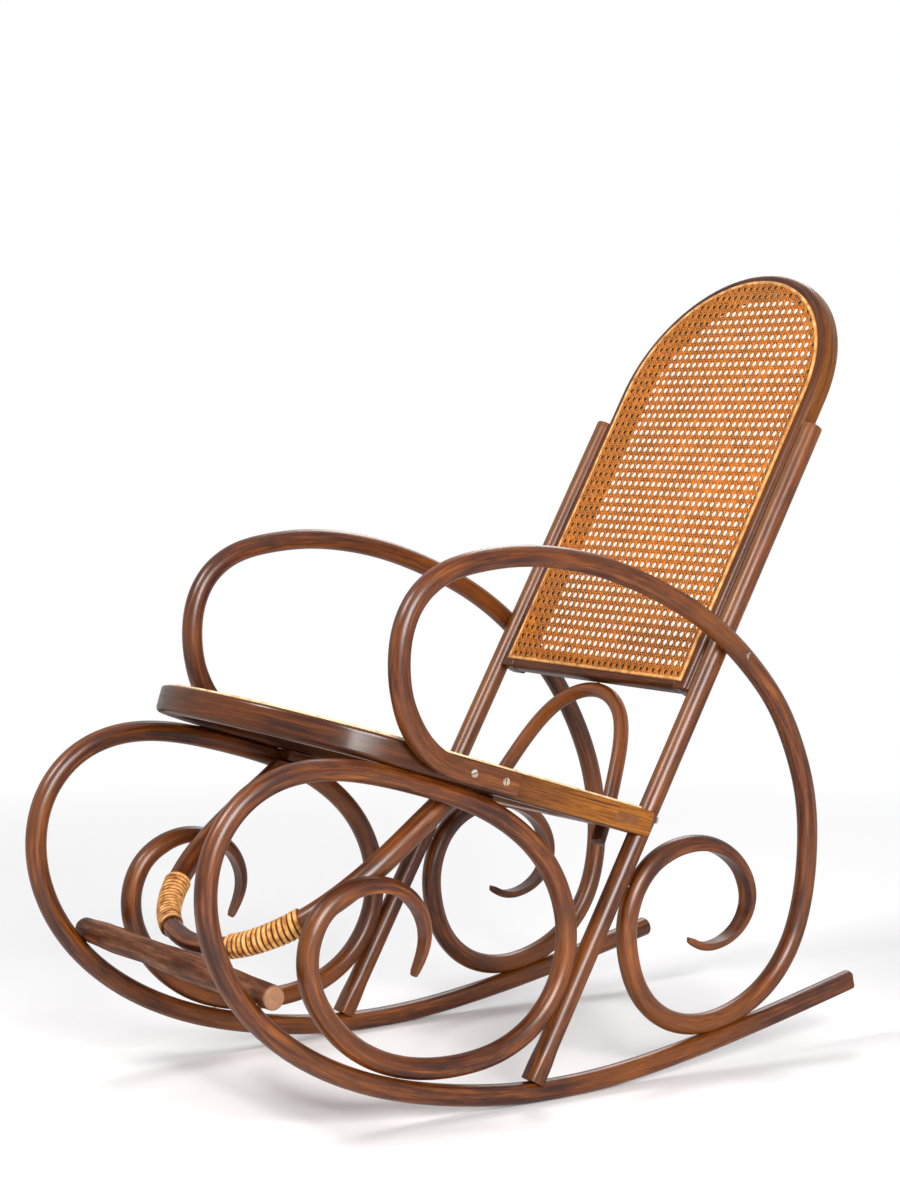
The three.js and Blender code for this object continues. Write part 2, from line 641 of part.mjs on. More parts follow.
// One winding: a flat cane strand in one unbroken run round the hoop
function winding() {
  const length = legLine.getLength();
  const steps = windingTurns * windingSteps;
  const strand = strandShares.map(([p, q]) =>
    [(p * strandThickness) / 2, (q * strandWidth) / 2]);
  const corner = Math.hypot(...roundSection(rodSides)[0]);
  const rings = [];
  for (let i = 0; i <= steps; i++) {
    const along = windingStart + (i / windingSteps) * windingPitch;
    const core = legRadiusAt(along) * corner + (5 * clearance) / 2;
    const radius = core / Math.cos(Math.PI / windingSteps) + strandThickness / 2;
    const t = (length / 2 - along) / length;
    const middle = legLine.getPointAt(t);
    const ahead = legLine.getTangentAt(t).negate();
    const round = legNormal.clone().cross(ahead);
    const angle = (i * 2 * Math.PI) / windingSteps;
    const out = legNormal.clone().multiplyScalar(Math.cos(angle))
      .addScaledVector(round, Math.sin(angle));
    const centre = middle.clone().addScaledVector(out, radius);
    rings.push(strand.map(([a, b]) =>
      centre.clone().addScaledVector(out, a).addScaledVector(ahead, b)));
  }
  console.log("winding: least gap between two turns", leastGap(rings).toFixed(2), "mm");
  return skin(rings);
}

// The least distance between points of the strand that lie about one turn apart.
function leastGap(rings) {
  let least = Infinity;
  rings.forEach((ring, i) => {
    for (const other of rings.slice(i + windingSteps - 1, i + windingSteps + 2))
      for (const p of ring) least = Math.min(least, ...other.map((q) => p.distanceTo(q)));
  });
  return least;
}
keep("leg_rest_winding_left", winding(), paleCane);

// Blocks that the leg rest's ends meet, under the seat's sides
const blockOuter = seatHalfWidth - seatWood + blockWidth * blockOutShare;
const blockTop = -seatThickness - clearance;
const blockUnder = blockTop - blockThickness;
// Where the leg rest's middle line meets the blocks' undersides, rearwards from the seat's rear end
const legAnchor = onLeg([0, 0]).sub(onSeat(0, 0, 0));
const legRun = (blockUnder - legAnchor.dot(upSeat)) / downLeg.dot(upSeat);
const legMeets = legAnchor.dot(rearwards) + legRun * downLeg.dot(rearwards);
const blockAt = legMeets + blockBehind;
keep("leg_rest_block_left", seatBlock(blockOuter - blockWidth, blockOuter, blockAt, blockLength,
  blockUnder, blockTop), wood);
cutBoth("leg_rest_hoop", seatBlock(blockOuter - 2 * blockWidth, blockOuter + blockWidth, legMeets,
  seatLength, blockUnder - clearance, blockTop + reach));
cut("leg_rest_block_left", runner(clearance));

// Foot bar, worn thinner where feet rest
const footBarHalf = side + rodRadius + footBarPast;
function footBar() {
  const last = footBarShares.length - 1;
  const profile = footBarShares.map((share, i) => {
    const inside = i === 0 ? footBarRounding : i === last ? -footBarRounding : 0;
    const at = THREE.MathUtils.lerp(-footBarHalf, footBarHalf, i / last) + inside;
    return new THREE.Vector2(footBarEndRadius * share, at);
  });
  const end = footBarEndRadius - footBarRounding;
  profile.unshift(new THREE.Vector2(0, -footBarHalf), new THREE.Vector2(end, -footBarHalf));
  profile.push(new THREE.Vector2(end, footBarHalf), new THREE.Vector2(0, footBarHalf));
  const turned = new THREE.LatheGeometry(profile, 12);
  turned.rotateZ(-Math.PI / 2);
  const middle = onFrame(footBarAtShare, 0);
  turned.translate(middle.x, middle.y, middle.z);
  return turned;
}
keep("foot_bar", footBar(), wornWood);
cutBoth("foot_bar", runner(clearance));

// Hoop behind the seat
const lumbarRadius = lumbarRodDiameter / 2;
const lumbarTop = backRailUp - lumbarRadius - clearance;
const seatUnderRear = onSeat(0, 0, -seatThickness).sub(onBack(0, 0, 0)).dot(upPost);
const lumbarFootUp = seatUnderRear - lumbarHang;
const lumbarLine = new BentLine(bothSides(lumbarShares).map(([out, up]) =>
  onBack(out * lumbarHalfWidth, THREE.MathUtils.lerp(lumbarFootUp, lumbarTop, up), -lumbarBehind)));
const lumbarHoop = (grow) => rod(lumbarLine, outFront, () => [lumbarRadius, lumbarRadius], grow);
keep("lumbar_hoop", lumbarHoop(0), wood);
cut("back_bottom_rail", lumbarHoop(clearance));
cut("seat_rear_rail", lumbarHoop(clearance));

// Screws

// A screw's outline, turned about its length, its head at the top end.
function screwProfile(length, grow, above) {
  const shank = screwShankRadius + grow;
  const head = screwHeadRadius + grow;
  return [
    [0, -length - grow], [shank, -length + shank], [shank, -screwHeadHeight - grow],
    [head, -grow], [head, above + grow], [0, above + grow],
  ].map(([r, h]) => new THREE.Vector2(r, h));
}
function turnedScrew(length, grow, above, at, ahead) {
  const screw = new THREE.LatheGeometry(screwProfile(length, grow, above), screwSides);
  const turn = new THREE.Quaternion().setFromUnitVectors(
    new THREE.Vector3(0, -1, 0), ahead.clone().normalize());
  screw.applyQuaternion(turn);
  screw.translate(at.x, at.y, at.z);
  return screw;
}
// Drives a screw from a surface point into the named pieces, and cuts each one's hole for it.
function drive(name, at, ahead, length, mates, sunk = 0) {
  const way = ahead.clone().normalize();
  const seat = at.clone().addScaledVector(way, sunk);
  for (const mate of mates) {
    const hole = turnedScrew(length, clearance, reach, seat, way);
    cut(mate, hole);
    if (!mate.includes("_left") && seat.x !== 0) cut(mate, mirrored(hole));
  }
  const slot = new THREE.BoxGeometry(slotWidth, 2 * slotDepth, 3 * screwHeadRadius);
  slot.translate(0, screwProud, 0);
  slot.applyQuaternion(new THREE.Quaternion().setFromUnitVectors(new THREE.Vector3(0, -1, 0), way));
  slot.translate(seat.x, seat.y, seat.z);
  pieces.set(name, {
    solid: solidOf(turnedScrew(length, 0, screwProud, seat, way)).subtract(solidOf(slot)),
    material: steel,
  });
}
// The places where two lines come nearest each other, each between two shares of its length.
function nearest(lineA, fromA, toA, lineB, fromB, toB, count = 160) {
  let best = { gap: Infinity };
  const pick = (line, from, to, k) =>
    line.getPointAt(THREE.MathUtils.lerp(from, to, k / count));
  const others = Array.from({ length: count + 1 }, (_, k) => pick(lineB, fromB, toB, k));
  for (let i = 0; i <= count; i++) {
    const a = pick(lineA, fromA, toA, i);
    for (const b of others) {
      const gap = a.distanceTo(b);
      if (gap < best.gap) best = { gap, a, b };
    }
  }
  return best;
}
// Screws two touching rods together: the head in the first, the tip in the second.
function driveAcross(name, spot, mates) {
  const way = spot.b.clone().sub(spot.a).normalize();
  drive(name, spot.a.clone().addScaledVector(way, -rodRadius), way,
    rodDiameter * screwLengthShares.across, mates, screwHeadHeight);
}

const postLine = new THREE.LineCurve3(postFrom, postTo);
const inwards = new THREE.Vector3(-1, 0, 0);
const forwards = rearwards.clone().negate();
// A short line at a point, for what lies nearest to that point
const shortLine = (from, way) =>
  new THREE.LineCurve3(from, from.clone().addScaledVector(way, clearance));

armScrewShares.forEach((share, i) => {
  const middle = armLine.getPointAt((share * frameLength) / armLength);
  drive("arm_front_screw_left_" + (i + 1), middle.addScaledVector(acrossX, armFlatThickness / 2),
    inwards, armFlatThickness * screwLengthShares.armFront, ["arm_left", "seat_hoop"]);
});
const overPost = armLine.getPointAt((armPostScrewShare * frameLength) / armLength);
const inPost = nearest(postLine, 0, 1, shortLine(overPost, inwards), 0, 1).a;
overPost.addScaledVector(acrossX, rodRadius);
drive("arm_post_screw_left", overPost, inPost.sub(overPost),
  rodDiameter * screwLengthShares.armPost, ["arm_left", "back_post_left"], 2 * screwHeadHeight);

driveAcross("arm_runner_screw_left", nearest(runnerLine, 0, 0.3, armLine, 0.5, 0.8),
  ["runner_left", "arm_left"]);
const selfTouch = nearest(runnerLine, 0.15, 0.35, runnerLine, 0.7, 0.86);
console.log("runner: scroll to runner between middles", selfTouch.gap.toFixed(2), "mm");
driveAcross("scroll_runner_screw_left", selfTouch, ["runner_left"]);
driveAcross("loop_post_screw_left", nearest(postLine, 0, 0.3, runnerLine, 0.55, 0.75),
  ["back_post_left", "runner_left"]);
driveAcross("arm_scroll_post_screw_left", nearest(armLine, 0.62, 0.85, postLine, 0.1, 0.5),
  ["arm_left", "back_post_left"]);
driveAcross("foot_bar_screw_left",
  nearest(runnerLine, 0.3, 0.5, shortLine(onFrame(footBarAtShare), acrossX), 0, 1),
  ["runner_left", "foot_bar"]);

// Up through the runner into the post's foot
drive("post_runner_screw_left", postFrom.clone().addScaledVector(upPost, rodRadius / 2 - rodDiameter),
  upPost, rodDiameter * screwLengthShares.postFoot, ["runner_left", "back_post_left"],
  3 * screwHeadHeight);

// Up through the runner's loop into the seat's side, and through the post into its rear end
const loopTop = nearest(runnerLine, 0.5, 0.66,
  shortLine(onSeat(side, -seatLength * loopScrewShare, -seatThickness), upSeat), 0, 1).a;
drive("seat_runner_screw_left", loopTop.addScaledVector(upSeat, -rodRadius), upSeat,
  rodDiameter * screwLengthShares.seatLoop, ["runner_left", "seat_hoop"], screwHeadHeight);
drive("seat_post_screw_left", onSeat(side, rodDiameter, railMiddle / 2), forwards,
  rodDiameter * screwLengthShares.seatPost, ["back_post_left", "seat_hoop"], 3 * screwHeadHeight);

// Out through the back's frame into the posts
const frameScrews = [
  ["lower", backRailUp + backScrewPast],
  ["upper", postLength - backScrewShort],
];
for (const [where, up] of frameScrews)
  drive("back_frame_screw_left_" + where, onBack(railHalf + clearance, up, -frameRear / 3), acrossX,
    frameWood * screwLengthShares.frame, ["back_frame", "back_post_left"], screwHeadHeight);

// Through the small hoop's feet into the rear rail, and through its top into the back's bottom rail
const lumbarFootOut = lumbarHalfWidth * (1 + lumbarShares[1][0]) / 2;
const lumbarFoot = nearest(lumbarLine, 0, 0.25,
  shortLine(onSeat(lumbarFootOut, rodRadius, railMiddle), forwards), 0, 1).a;
drive("lumbar_screw_left", lumbarFoot.addScaledVector(rearwards, lumbarRadius), forwards,
  lumbarRodDiameter * screwLengthShares.lumbarFoot, ["lumbar_hoop", "seat_rear_rail"],
  screwHeadHeight);
drive("lumbar_screw_top", onBack(0, lumbarTop - lumbarRadius, -lumbarBehind), upPost,
  lumbarRodDiameter * screwLengthShares.lumbarTop, ["lumbar_hoop", "back_bottom_rail"],
  screwHeadHeight);

// Up through each of the leg rest's ends into its block
const legLean = Math.abs(downLeg.dot(rearwards));
const legRise = legScrewBehind * Math.abs(downLeg.dot(upSeat)) - legEndDiameter / 2;
drive("leg_rest_screw_left",
  onSeat(legHalfWidth, legMeets + legScrewBehind, blockUnder + legRise / legLean), upSeat,
  legEndDiameter * screwLengthShares.leg, ["leg_rest_hoop", "leg_rest_block_left"],
  screwHeadHeight);

const chair = new THREE.Group();
function place(name, geometry, material) {
  const mesh = new THREE.Mesh(geometry, material);
  mesh.name = name;
  geometry.computeVertexNormals();
  chair.add(mesh);
}
for (const [name, { solid, material }] of pieces) {
  const geometry = geometryOf(solid);
  place(name, geometry, material);
  if (name.includes("_left")) place(name.replace("_left", "_right"), mirrored(geometry), material);
}

// The origin: on the floor, in the middle of the chair's length and width
const box = new THREE.Box3().setFromObject(chair);
const middle = box.getCenter(new THREE.Vector3());
for (const mesh of chair.children) mesh.geometry.translate(0, -middle.y, -box.min.z);
console.log("size", box.getSize(new THREE.Vector3()).toArray().map((v) => v.toFixed(1)).join(" x "));
console.log("moved", middle.y.toFixed(2), box.min.z.toFixed(2));

export default chair;
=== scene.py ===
"""A bentwood rocking chair, dressed round its frame: smooth bent rods, woven cane and polish.

Metres, +Z up. The chair faces -Y and its left side is +X.
"""
import math

import bmesh
import bpy
from mathutils import Matrix, Vector, noise


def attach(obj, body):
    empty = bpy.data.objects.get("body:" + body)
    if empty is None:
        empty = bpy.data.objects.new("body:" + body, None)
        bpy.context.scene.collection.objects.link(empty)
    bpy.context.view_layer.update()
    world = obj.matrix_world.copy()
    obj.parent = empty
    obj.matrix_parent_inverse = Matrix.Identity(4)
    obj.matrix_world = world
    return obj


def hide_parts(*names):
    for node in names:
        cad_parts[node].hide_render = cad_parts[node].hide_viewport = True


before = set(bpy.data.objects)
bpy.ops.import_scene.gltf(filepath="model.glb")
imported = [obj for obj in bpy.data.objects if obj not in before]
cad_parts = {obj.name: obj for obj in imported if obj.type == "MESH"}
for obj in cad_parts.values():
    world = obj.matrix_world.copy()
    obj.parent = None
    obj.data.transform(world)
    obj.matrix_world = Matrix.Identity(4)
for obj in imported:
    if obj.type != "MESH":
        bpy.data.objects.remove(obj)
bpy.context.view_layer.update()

scene = bpy.context.scene

# Camera, at the photograph's angle
CAMERA_AT = Vector((2.6653, -1.8979, 0.8537))
CAMERA_AHEAD = Vector((-0.8169, 0.5720, -0.0744))
CAMERA_LENS = 75.25
SENSOR = 36

camera = bpy.data.cameras.new("camera")
camera.lens = CAMERA_LENS
camera.sensor_width = SENSOR
camera.sensor_fit = "AUTO"
camera_object = bpy.data.objects.new("camera", camera)
camera_object.location = CAMERA_AT
camera_object.rotation_euler = CAMERA_AHEAD.to_track_quat("-Z", "Y").to_euler()
scene.collection.objects.link(camera_object)
scene.camera = camera_object

# Sizes of the chair, from its frame. The tables' zero lies off the middle of the floor's box.
TABLE_BACK = 0.0506
TABLE_UP = 0.00188
SIDE_OUT = 0.218  # from the chair's middle to the middle of a runner
ROD = 0.0135  # radius of the bent rods
ROD_SIDES = 28
GAP = 0.0003  # between two pieces that touch
X_AXIS = Vector((1, 0, 0))
Z_AXIS = Vector((0, 0, 1))
BOTH = ("left", "right")
SAME_PLACE = 1e-6  # nearer than this is one place
END_TURNS = (0, 0.5, 1, 1.3, math.pi / 2)  # of the rings that round a stick's end
CORE_SHARE = 0.05  # of a section, left at least where an end is rounded

# Side frames: how far back and how high each point of a runner is
RUNNER = [
    (0.532, 0.087), (0.43, 0.066), (0.33, 0.0465), (0.23, 0.03), (0.135, 0.0185), (0.045, 0.0142),
    (-0.05, 0.0187), (-0.142, 0.0325), (-0.228, 0.0545), (-0.304, 0.086), (-0.37, 0.128),
    (-0.423, 0.181), (-0.458, 0.243), (-0.47, 0.31), (-0.455, 0.372), (-0.411, 0.42),
    (-0.345, 0.442), (-0.27, 0.438), (-0.19, 0.418), (-0.11, 0.39), (-0.04, 0.351),
    (0.014, 0.297), (0.041, 0.232), (0.038, 0.168), (0.006, 0.113), (-0.05, 0.0775),
    (-0.117, 0.066), (-0.188, 0.072), (-0.257, 0.099), (-0.31, 0.148), (-0.336, 0.213),
    (-0.322, 0.267), (-0.277, 0.298), (-0.223, 0.298), (-0.181, 0.27), (-0.168, 0.228),
    (-0.186, 0.183),
]
# How far out (2 beside the seat, 1 beside the post, 0 over the runner), how far back and how high
ARM = [
    (2, -0.053, 0.406), (2, -0.11, 0.4235), (1.8, -0.163, 0.4425), (1, -0.2, 0.475),
    (1, -0.22, 0.517), (1, -0.226, 0.562), (1, -0.22, 0.604), (1, -0.2, 0.64),
    (1, -0.164, 0.666), (1, -0.108, 0.68), (1, -0.048, 0.684), (1, 0.014, 0.679),
    (1, 0.083, 0.664), (1, 0.155, 0.638), (1, 0.226, 0.603), (1, 0.283, 0.564),
    (0.982, 0.327, 0.524), (0.895, 0.369, 0.476), (0.737, 0.404, 0.417), (0.544, 0.43, 0.35),
    (0.316, 0.441, 0.28), (0.14, 0.437, 0.207), (0.035, 0.416, 0.145), (0, 0.377, 0.1),
    (0, 0.324, 0.0725), (0, 0.264, 0.063), (0, 0.209, 0.0755), (0, 0.165, 0.112),
    (0, 0.1425, 0.165), (0, 0.1395, 0.21), (0, 0.152, 0.25), (0, 0.181, 0.283),
    (0, 0.223, 0.3), (0, 0.269, 0.3), (0, 0.313, 0.281), (0, 0.341, 0.248),
    (0, 0.347, 0.213), (0, 0.329, 0.181), (0, 0.299, 0.165), (0, 0.267, 0.164),
    (0, 0.242, 0.176),
]
BESIDE_POST = 0.0285  # how far out an arm's middle lies from its runner's, beside the post
BESIDE_SEAT = 0.0251
ARM_FLAT, ARM_FLAT_FROM, ARM_FLAT_TO = 0.0078, 0.118, 0.225  # half its thickness, and where it ends
ARM_FLAT_POWER = 6
REAR_FLAT, REAR_FLAT_FROM, REAR_FLAT_TO = 0.0042, 0.09, 0.24  # planed off the runner's rear end
RUNNER_THINS = 0.34  # length over which a scroll thins to TIP_SHARE of its rod
ARM_THINS = 0.52
TIP_SHARE, TIP_POWER = 0.3, 0.7
TIP_NARROWS, TIP_WIDTH_SHARE, TIP_WIDTH_POWER = 0.15, 0.42, 0.6  # the same across the scroll

# The posts lean back from their feet, which are squared and lap over the runners
LEAN = math.radians(29.6)
POST_FOOT = (-0.011, 0.024)
POST_LENGTH = 0.936
POST_CUT = 0.004  # how far up its middle line the post's lower end lies
POST_SLIMS = 0.07  # share of its depth that it loses at its foot
POST_SQUARE, POST_ROUND = 0.014, 0.05  # how far up it is square, and from where it is round
POST_FOOT_POWER = 3.6
UP_POST = Vector((0, math.sin(LEAN), math.cos(LEAN)))
OUT_FRONT = Vector((0, -math.cos(LEAN), math.sin(LEAN)))

# Back: its faces ahead of and behind the posts' middles, its stick, bottom rail and cane's border
BACK_FRONT = 0.0105
BACK_REAR = 0.018
BACK_WOOD = 0.029
BACK_HALF = SIDE_OUT - ROD - GAP
BACK_STICK_ROUNDS = [0.0015, 0.0105, 0.0075, 0.002]
BACK_RAIL_UP = 0.541
BACK_RAIL_HEIGHT = 0.028
BACK_RAIL_REAR = 0.75 * BACK_REAR
BACK_RAIL_ROUNDS = [0.0095, 0.0012, 0.002, 0.006]
ARCH_SPRING = 0.984
ARCH_RISE = 0.194
BACK_BORDER_INSET = 0.0155
BORDER_OVER_RAIL = 0.0105
BACK_BORDER_UP = BACK_RAIL_UP + BORDER_OVER_RAIL

# The seat's top slopes down to the rear
SEAT_SLOPE = math.radians(17.6)
SEAT_REAR = (0.172, 0.3512)
SEAT_PAST_SIDE = 0.017
SEAT_HALF = SIDE_OUT + SEAT_PAST_SIDE
SEAT_LENGTH = 0.569
SEAT_ROUND = 0.225
SEAT_WOOD = 0.030
SEAT_THICK = 0.034
SEAT_HOOP_ROUNDS = [0.0045, 0.003, 0.003, 0.0065]
SEAT_RAIL_AT, SEAT_RAIL_WIDTH, SEAT_RAIL_THICK = -0.030, 0.054, 0.030
TENON_AT, TENON_WIDTH, TENON_THICK = -0.042, 0.036, 0.013
TENON_PROUD, TENON_ROUND = 0.0003, 0.0006
REARWARDS = Vector((0, math.cos(SEAT_SLOPE), -math.sin(SEAT_SLOPE)))
UP_SEAT = Vector((0, math.sin(SEAT_SLOPE), math.cos(SEAT_SLOPE)))
SEAT_BORDER_INSET = 0.008
SEAT_BORDER_REAR = 0.016
BORDER_WIDTH = 0.005
BORDER_PROUD, BORDER_DEEP = 0.0026, 0.0014  # over and under the face that it lies on
BORDER_ROUNDS = [0.0019, 0.0019, 0.0003, 0.0003]

# Leg rest: its plane, its hoop, the windings on it and the blocks that its ends meet
LEG_PLANE = (-0.3118, 0.2462)
LEG_SLOPE = math.radians(36.1)
LEG_ROD, LEG_END = 0.01225, 0.015
LEG_PAST = 0.0015  # left between the hoop's side and the runner
LEG_HALF = SIDE_OUT - ROD - LEG_PAST - LEG_END
LEG = [
    (1, -0.27), (1, -0.173), (0.995, -0.122), (0.968, -0.084), (0.91, -0.046),
    (0.803, -0.009), (0.628, 0.027), (0.4255, 0.05), (0.2128, 0.061), (0, 0.065),
]
DOWN_LEG = Vector((0, -math.cos(LEG_SLOPE), -math.sin(LEG_SLOPE)))
LEG_NORMAL = X_AXIS.cross(DOWN_LEG)
WINDING_FROM, WINDING_TURNS, WINDING_PITCH = 0.075, 15, 0.007
WINDING_TO = 2 * WINDING_FROM + WINDING_TURNS * WINDING_PITCH
WINDING_LIFT = 0.0006  # off the hoop
TURN_STEPS = 36
TURN_LENGTH = 0.085  # of the strand, for its grain
LEG_FINE_STEP, LEG_AHEAD_STEPS = 0.0005, 4  # for the hoop's line under a winding
STRAND_WIDTH, STRAND_THICK = 0.0063, 0.0026
STRAND_ROUNDS = [0.0022, 0.0003, 0.0003, 0.0022]
BLOCK_LENGTH, BLOCK_WIDTH, BLOCK_THICK, BLOCK_ROUND = 0.056, 0.034, 0.016, 0.004
BLOCK_PAST_SEAT = 0.2 * BLOCK_WIDTH
BLOCK_BEHIND_LEG = 0.023

# Foot bar: its radii along it, as shares of its end's radius, and how deep it is knocked
FOOT_BAR = (-0.3925, 0.189)
FOOT_BAR_PAST = 0.0085
FOOT_BAR_HALF = SIDE_OUT + ROD + FOOT_BAR_PAST
FOOT_BAR_RADIUS = 0.0145
FOOT_BAR_SHARES = [1.0, 1.12, 1.18, 1.14, 1.06, 1.12, 1.18, 1.2, 1.16, 1.1, 1.05, 1.0]
FOOT_BAR_STEPS = 200
KNOCKS_ALONG, KNOCK_DEPTH = 26, 0.0007

# Small hoop behind the seat: shares of its half width and of its height
LUMBAR = [
    (1, 0), (0.933, 0.228), (0.837, 0.4466), (0.7185, 0.6603), (0.526, 0.8551), (0.267, 0.9667),
    (0, 1),
]
LUMBAR_HALF = 0.135
LUMBAR_BEHIND = 0.011
LUMBAR_ROD = 0.010
LUMBAR_HANG = 0.020  # how far its ends hang below the seat's rear

# Cane: how far apart its holes are, how far a pair's strands lie from the pair's middle, its
# strands, and how far they pass over and under. It runs on a little under its border.
HOLE_ACROSS = 0.0127
HOLE_UP = 0.0137
NODE_ACROSS = 0.00175
NODE_UP = 0.0016
UPRIGHT_WIDTH, ROW_WIDTH, SLANT_WIDTH = 0.0027, 0.0025, 0.0028
CANE_THICK = 0.0005
OVER_UNDER = 0.00045
SLANT_OVER = 0.00075
CANE_UNDER = 0.003
CANE_LEVEL = 0.0011  # its middle, over the wood's face
SHORTEST_STRAND = 0.008
RUN_STEPS, RUN_HALVINGS = 300, 12
BACK_CANE_LOW, BACK_CANE_HIGH = (-0.19, 0.54), (0.19, 1.19)
SEAT_CANE_LOW, SEAT_CANE_HIGH = (-0.23, -0.57), (0.23, -0.01)

# Screws
HEAD_RADIUS, HEAD_HEIGHT, SHANK_RADIUS = 0.005, 0.0026, 0.002
HEAD_UNDER_SHARE = 0.9  # of the head's radius, at its underside
SLOT_HALF, SLOT_DEPTH = 0.0007, 0.0013
SCREW_SIDES = 24
SCREW_TURN = 1.7  # from one screw's slot to the next one's
ARM_POST_RISE = 0.0046  # up to the arm's surface, where the solid's head lies deep
SUNK_IN_ROD = 0.0007

# Grain of the wood and the cane: how fine each layer is, twice across a stick and once along it
STREAKS_FINE = (210, 210, 9)
FIBRES_FINE = (1100, 1100, 34)
RIPPLES_FINE = (500, 500, 9)
PATCHES_FINE = (80, 80, 15)
CANE_STREAKS_FINE = (1500, 1500, 30)
AMBER_SHEEN_SIDE = (0.010, 0.0135)  # across a stick, where the painted amber sheen of its outer side starts and where it is full

# Studio
DAYLIGHT = (1, 0.98, 0.955)
GLOW, GLOW_STRENGTH = (0.9, 0.93, 1), 0.2
FLOOR_COLOUR, FLOOR_ROUGHNESS = (0.86, 0.86, 0.87), 0.6
FLOOR_RADIUS, FLOOR_SIDES, FLOOR_UNDER = 12, 64, 0.0002
FLOOR_FADES = (1.0, 2.6)  # from the middle, where it starts to turn white and where it is


def on_frame(places, out=SIDE_OUT):
    back, up = places
    return Vector((out, back - TABLE_BACK, up - TABLE_UP))


def on_back(out, up, front=0):
    return on_frame(POST_FOOT, out) + up * UP_POST + front * OUT_FRONT


def on_seat(out, back, up=0):
    return on_frame(SEAT_REAR, out) + back * REARWARDS + up * UP_SEAT


def on_leg(out, down):
    return on_frame(LEG_PLANE, out * LEG_HALF) + down * DOWN_LEG


def plane_at(origin, along, up):
    """The matrix that puts X, Y and Z along `along`, `up` and their normal."""
    frame_of = Matrix((along, up, along.cross(up))).transposed().to_4x4()
    frame_of.translation = origin
    return frame_of


BACK_PLANE = plane_at(on_back(0, 0), X_AXIS, UP_POST)
SEAT_PLANE = plane_at(on_seat(0, 0), X_AXIS, REARWARDS)


# Lines
def smoothly(points, fine=1600):
    """Many points along the natural spline through the given ones, spaced by their chords."""
    knots = [0.0]
    for a, b in zip(points, points[1:]):
        knots.append(knots[-1] + (b - a).length)
    last = len(points) - 1
    bend = [Vector() for _ in points]
    share = [0.0]
    for i in range(1, last):
        before = knots[i] - knots[i - 1]
        after = knots[i + 1] - knots[i]
        pull = 2 * (before + after) - before * share[i - 1]
        turn = (points[i + 1] - points[i]) / after - (points[i] - points[i - 1]) / before
        bend[i] = (6 * turn - before * bend[i - 1]) / pull
        share.append(after / pull)
    for i in range(last - 1, 0, -1):
        bend[i] = bend[i] - share[i] * bend[i + 1]
    line = []
    i = 0
    for step in range(fine + 1):
        place = knots[-1] * step / fine
        while i < last - 1 and place > knots[i + 1]:
            i += 1
        span = knots[i + 1] - knots[i]
        b = (place - knots[i]) / span
        a = 1 - b
        line.append(points[i] * a + points[i + 1] * b
                    + bend[i] * ((a ** 3 - a) * span ** 2 / 6)
                    + bend[i + 1] * ((b ** 3 - b) * span ** 2 / 6))
    return line


def evenly(line, spacing):
    """The same line in equal steps: a list of (point, distance along it)."""
    at = [0.0]
    for a, b in zip(line, line[1:]):
        at.append(at[-1] + (b - a).length)
    count = max(2, round(at[-1] / spacing))
    stops = []
    i = 0
    for step in range(count + 1):
        place = at[-1] * step / count
        while i < len(at) - 2 and place > at[i + 1]:
            i += 1
        stops.append((line[i].lerp(line[i + 1], (place - at[i]) / (at[i + 1] - at[i])), place))
    return stops


def framed(stops, across):
    """For each stop, the matrix whose X lies along `across`, Y square to it and Z ahead."""
    made = []
    for i, (point, place) in enumerate(stops):
        ahead = (stops[min(i + 1, len(stops) - 1)][0] - stops[max(i - 1, 0)][0]).normalized()
        wide = (across - across.dot(ahead) * ahead).normalized()
        turned = Matrix((wide, ahead.cross(wide), ahead)).transposed().to_4x4()
        turned.translation = point
        made.append((turned, place))
    return made


def both_sides(shares):
    return shares + [(-out, other) for out, other in reversed(shares[:-1])]


# Pieces
def new_bmesh():
    bm = bmesh.new()
    bm.verts.layers.float_vector.new("grain")
    return bm


def piece(name, bm, material, nodes, sides=("left",)):
    """An object of the mesh, or one for each side where SIDE stands in its name."""
    for side in sides:
        copy = bm.copy()
        if side == "right":
            bmesh.ops.scale(copy, vec=(-1, 1, 1), verts=copy.verts)
        bmesh.ops.recalc_face_normals(copy, faces=copy.faces)
        mesh = bpy.data.meshes.new(name.replace("SIDE", side))
        copy.to_mesh(mesh)
        copy.free()
        mesh.materials.append(material)
        obj = bpy.data.objects.new(name.replace("SIDE", side), mesh)
        scene.collection.objects.link(obj)
        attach(obj, "root")
        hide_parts(*[node.replace("SIDE", side) for node in nodes])
    bm.free()
    return obj


def smooth(bm, sharp=math.radians(50)):
    """Smooth faces, with hard edges where two faces meet at more than `sharp`."""
    for face in bm.faces:
        face.smooth = True
    for edge in bm.edges:
        if len(edge.link_faces) == 2 and edge.calc_face_angle(0) > sharp:
            edge.smooth = False


def fill_ends(bm):
    bmesh.ops.holes_fill(bm, edges=[e for e in bm.edges if e.is_boundary], sides=0)


def rolled(bm, rings, sides, place_at):
    """A grid rolled into a tube. place_at(i, k) gives ring i's point at side k, and its grain."""
    grain = bm.verts.layers.float_vector["grain"]
    grid = bmesh.ops.create_grid(bm, x_segments=rings - 1, y_segments=sides, size=0.5)["verts"]
    for v in grid:
        i = round((v.co.x + 0.5) * (rings - 1))
        k = round((v.co.y + 0.5) * sides) % sides
        v.co, v[grain] = place_at(i, k)
    bmesh.ops.remove_doubles(bm, verts=grid, dist=SAME_PLACE)
    fill_ends(bm)


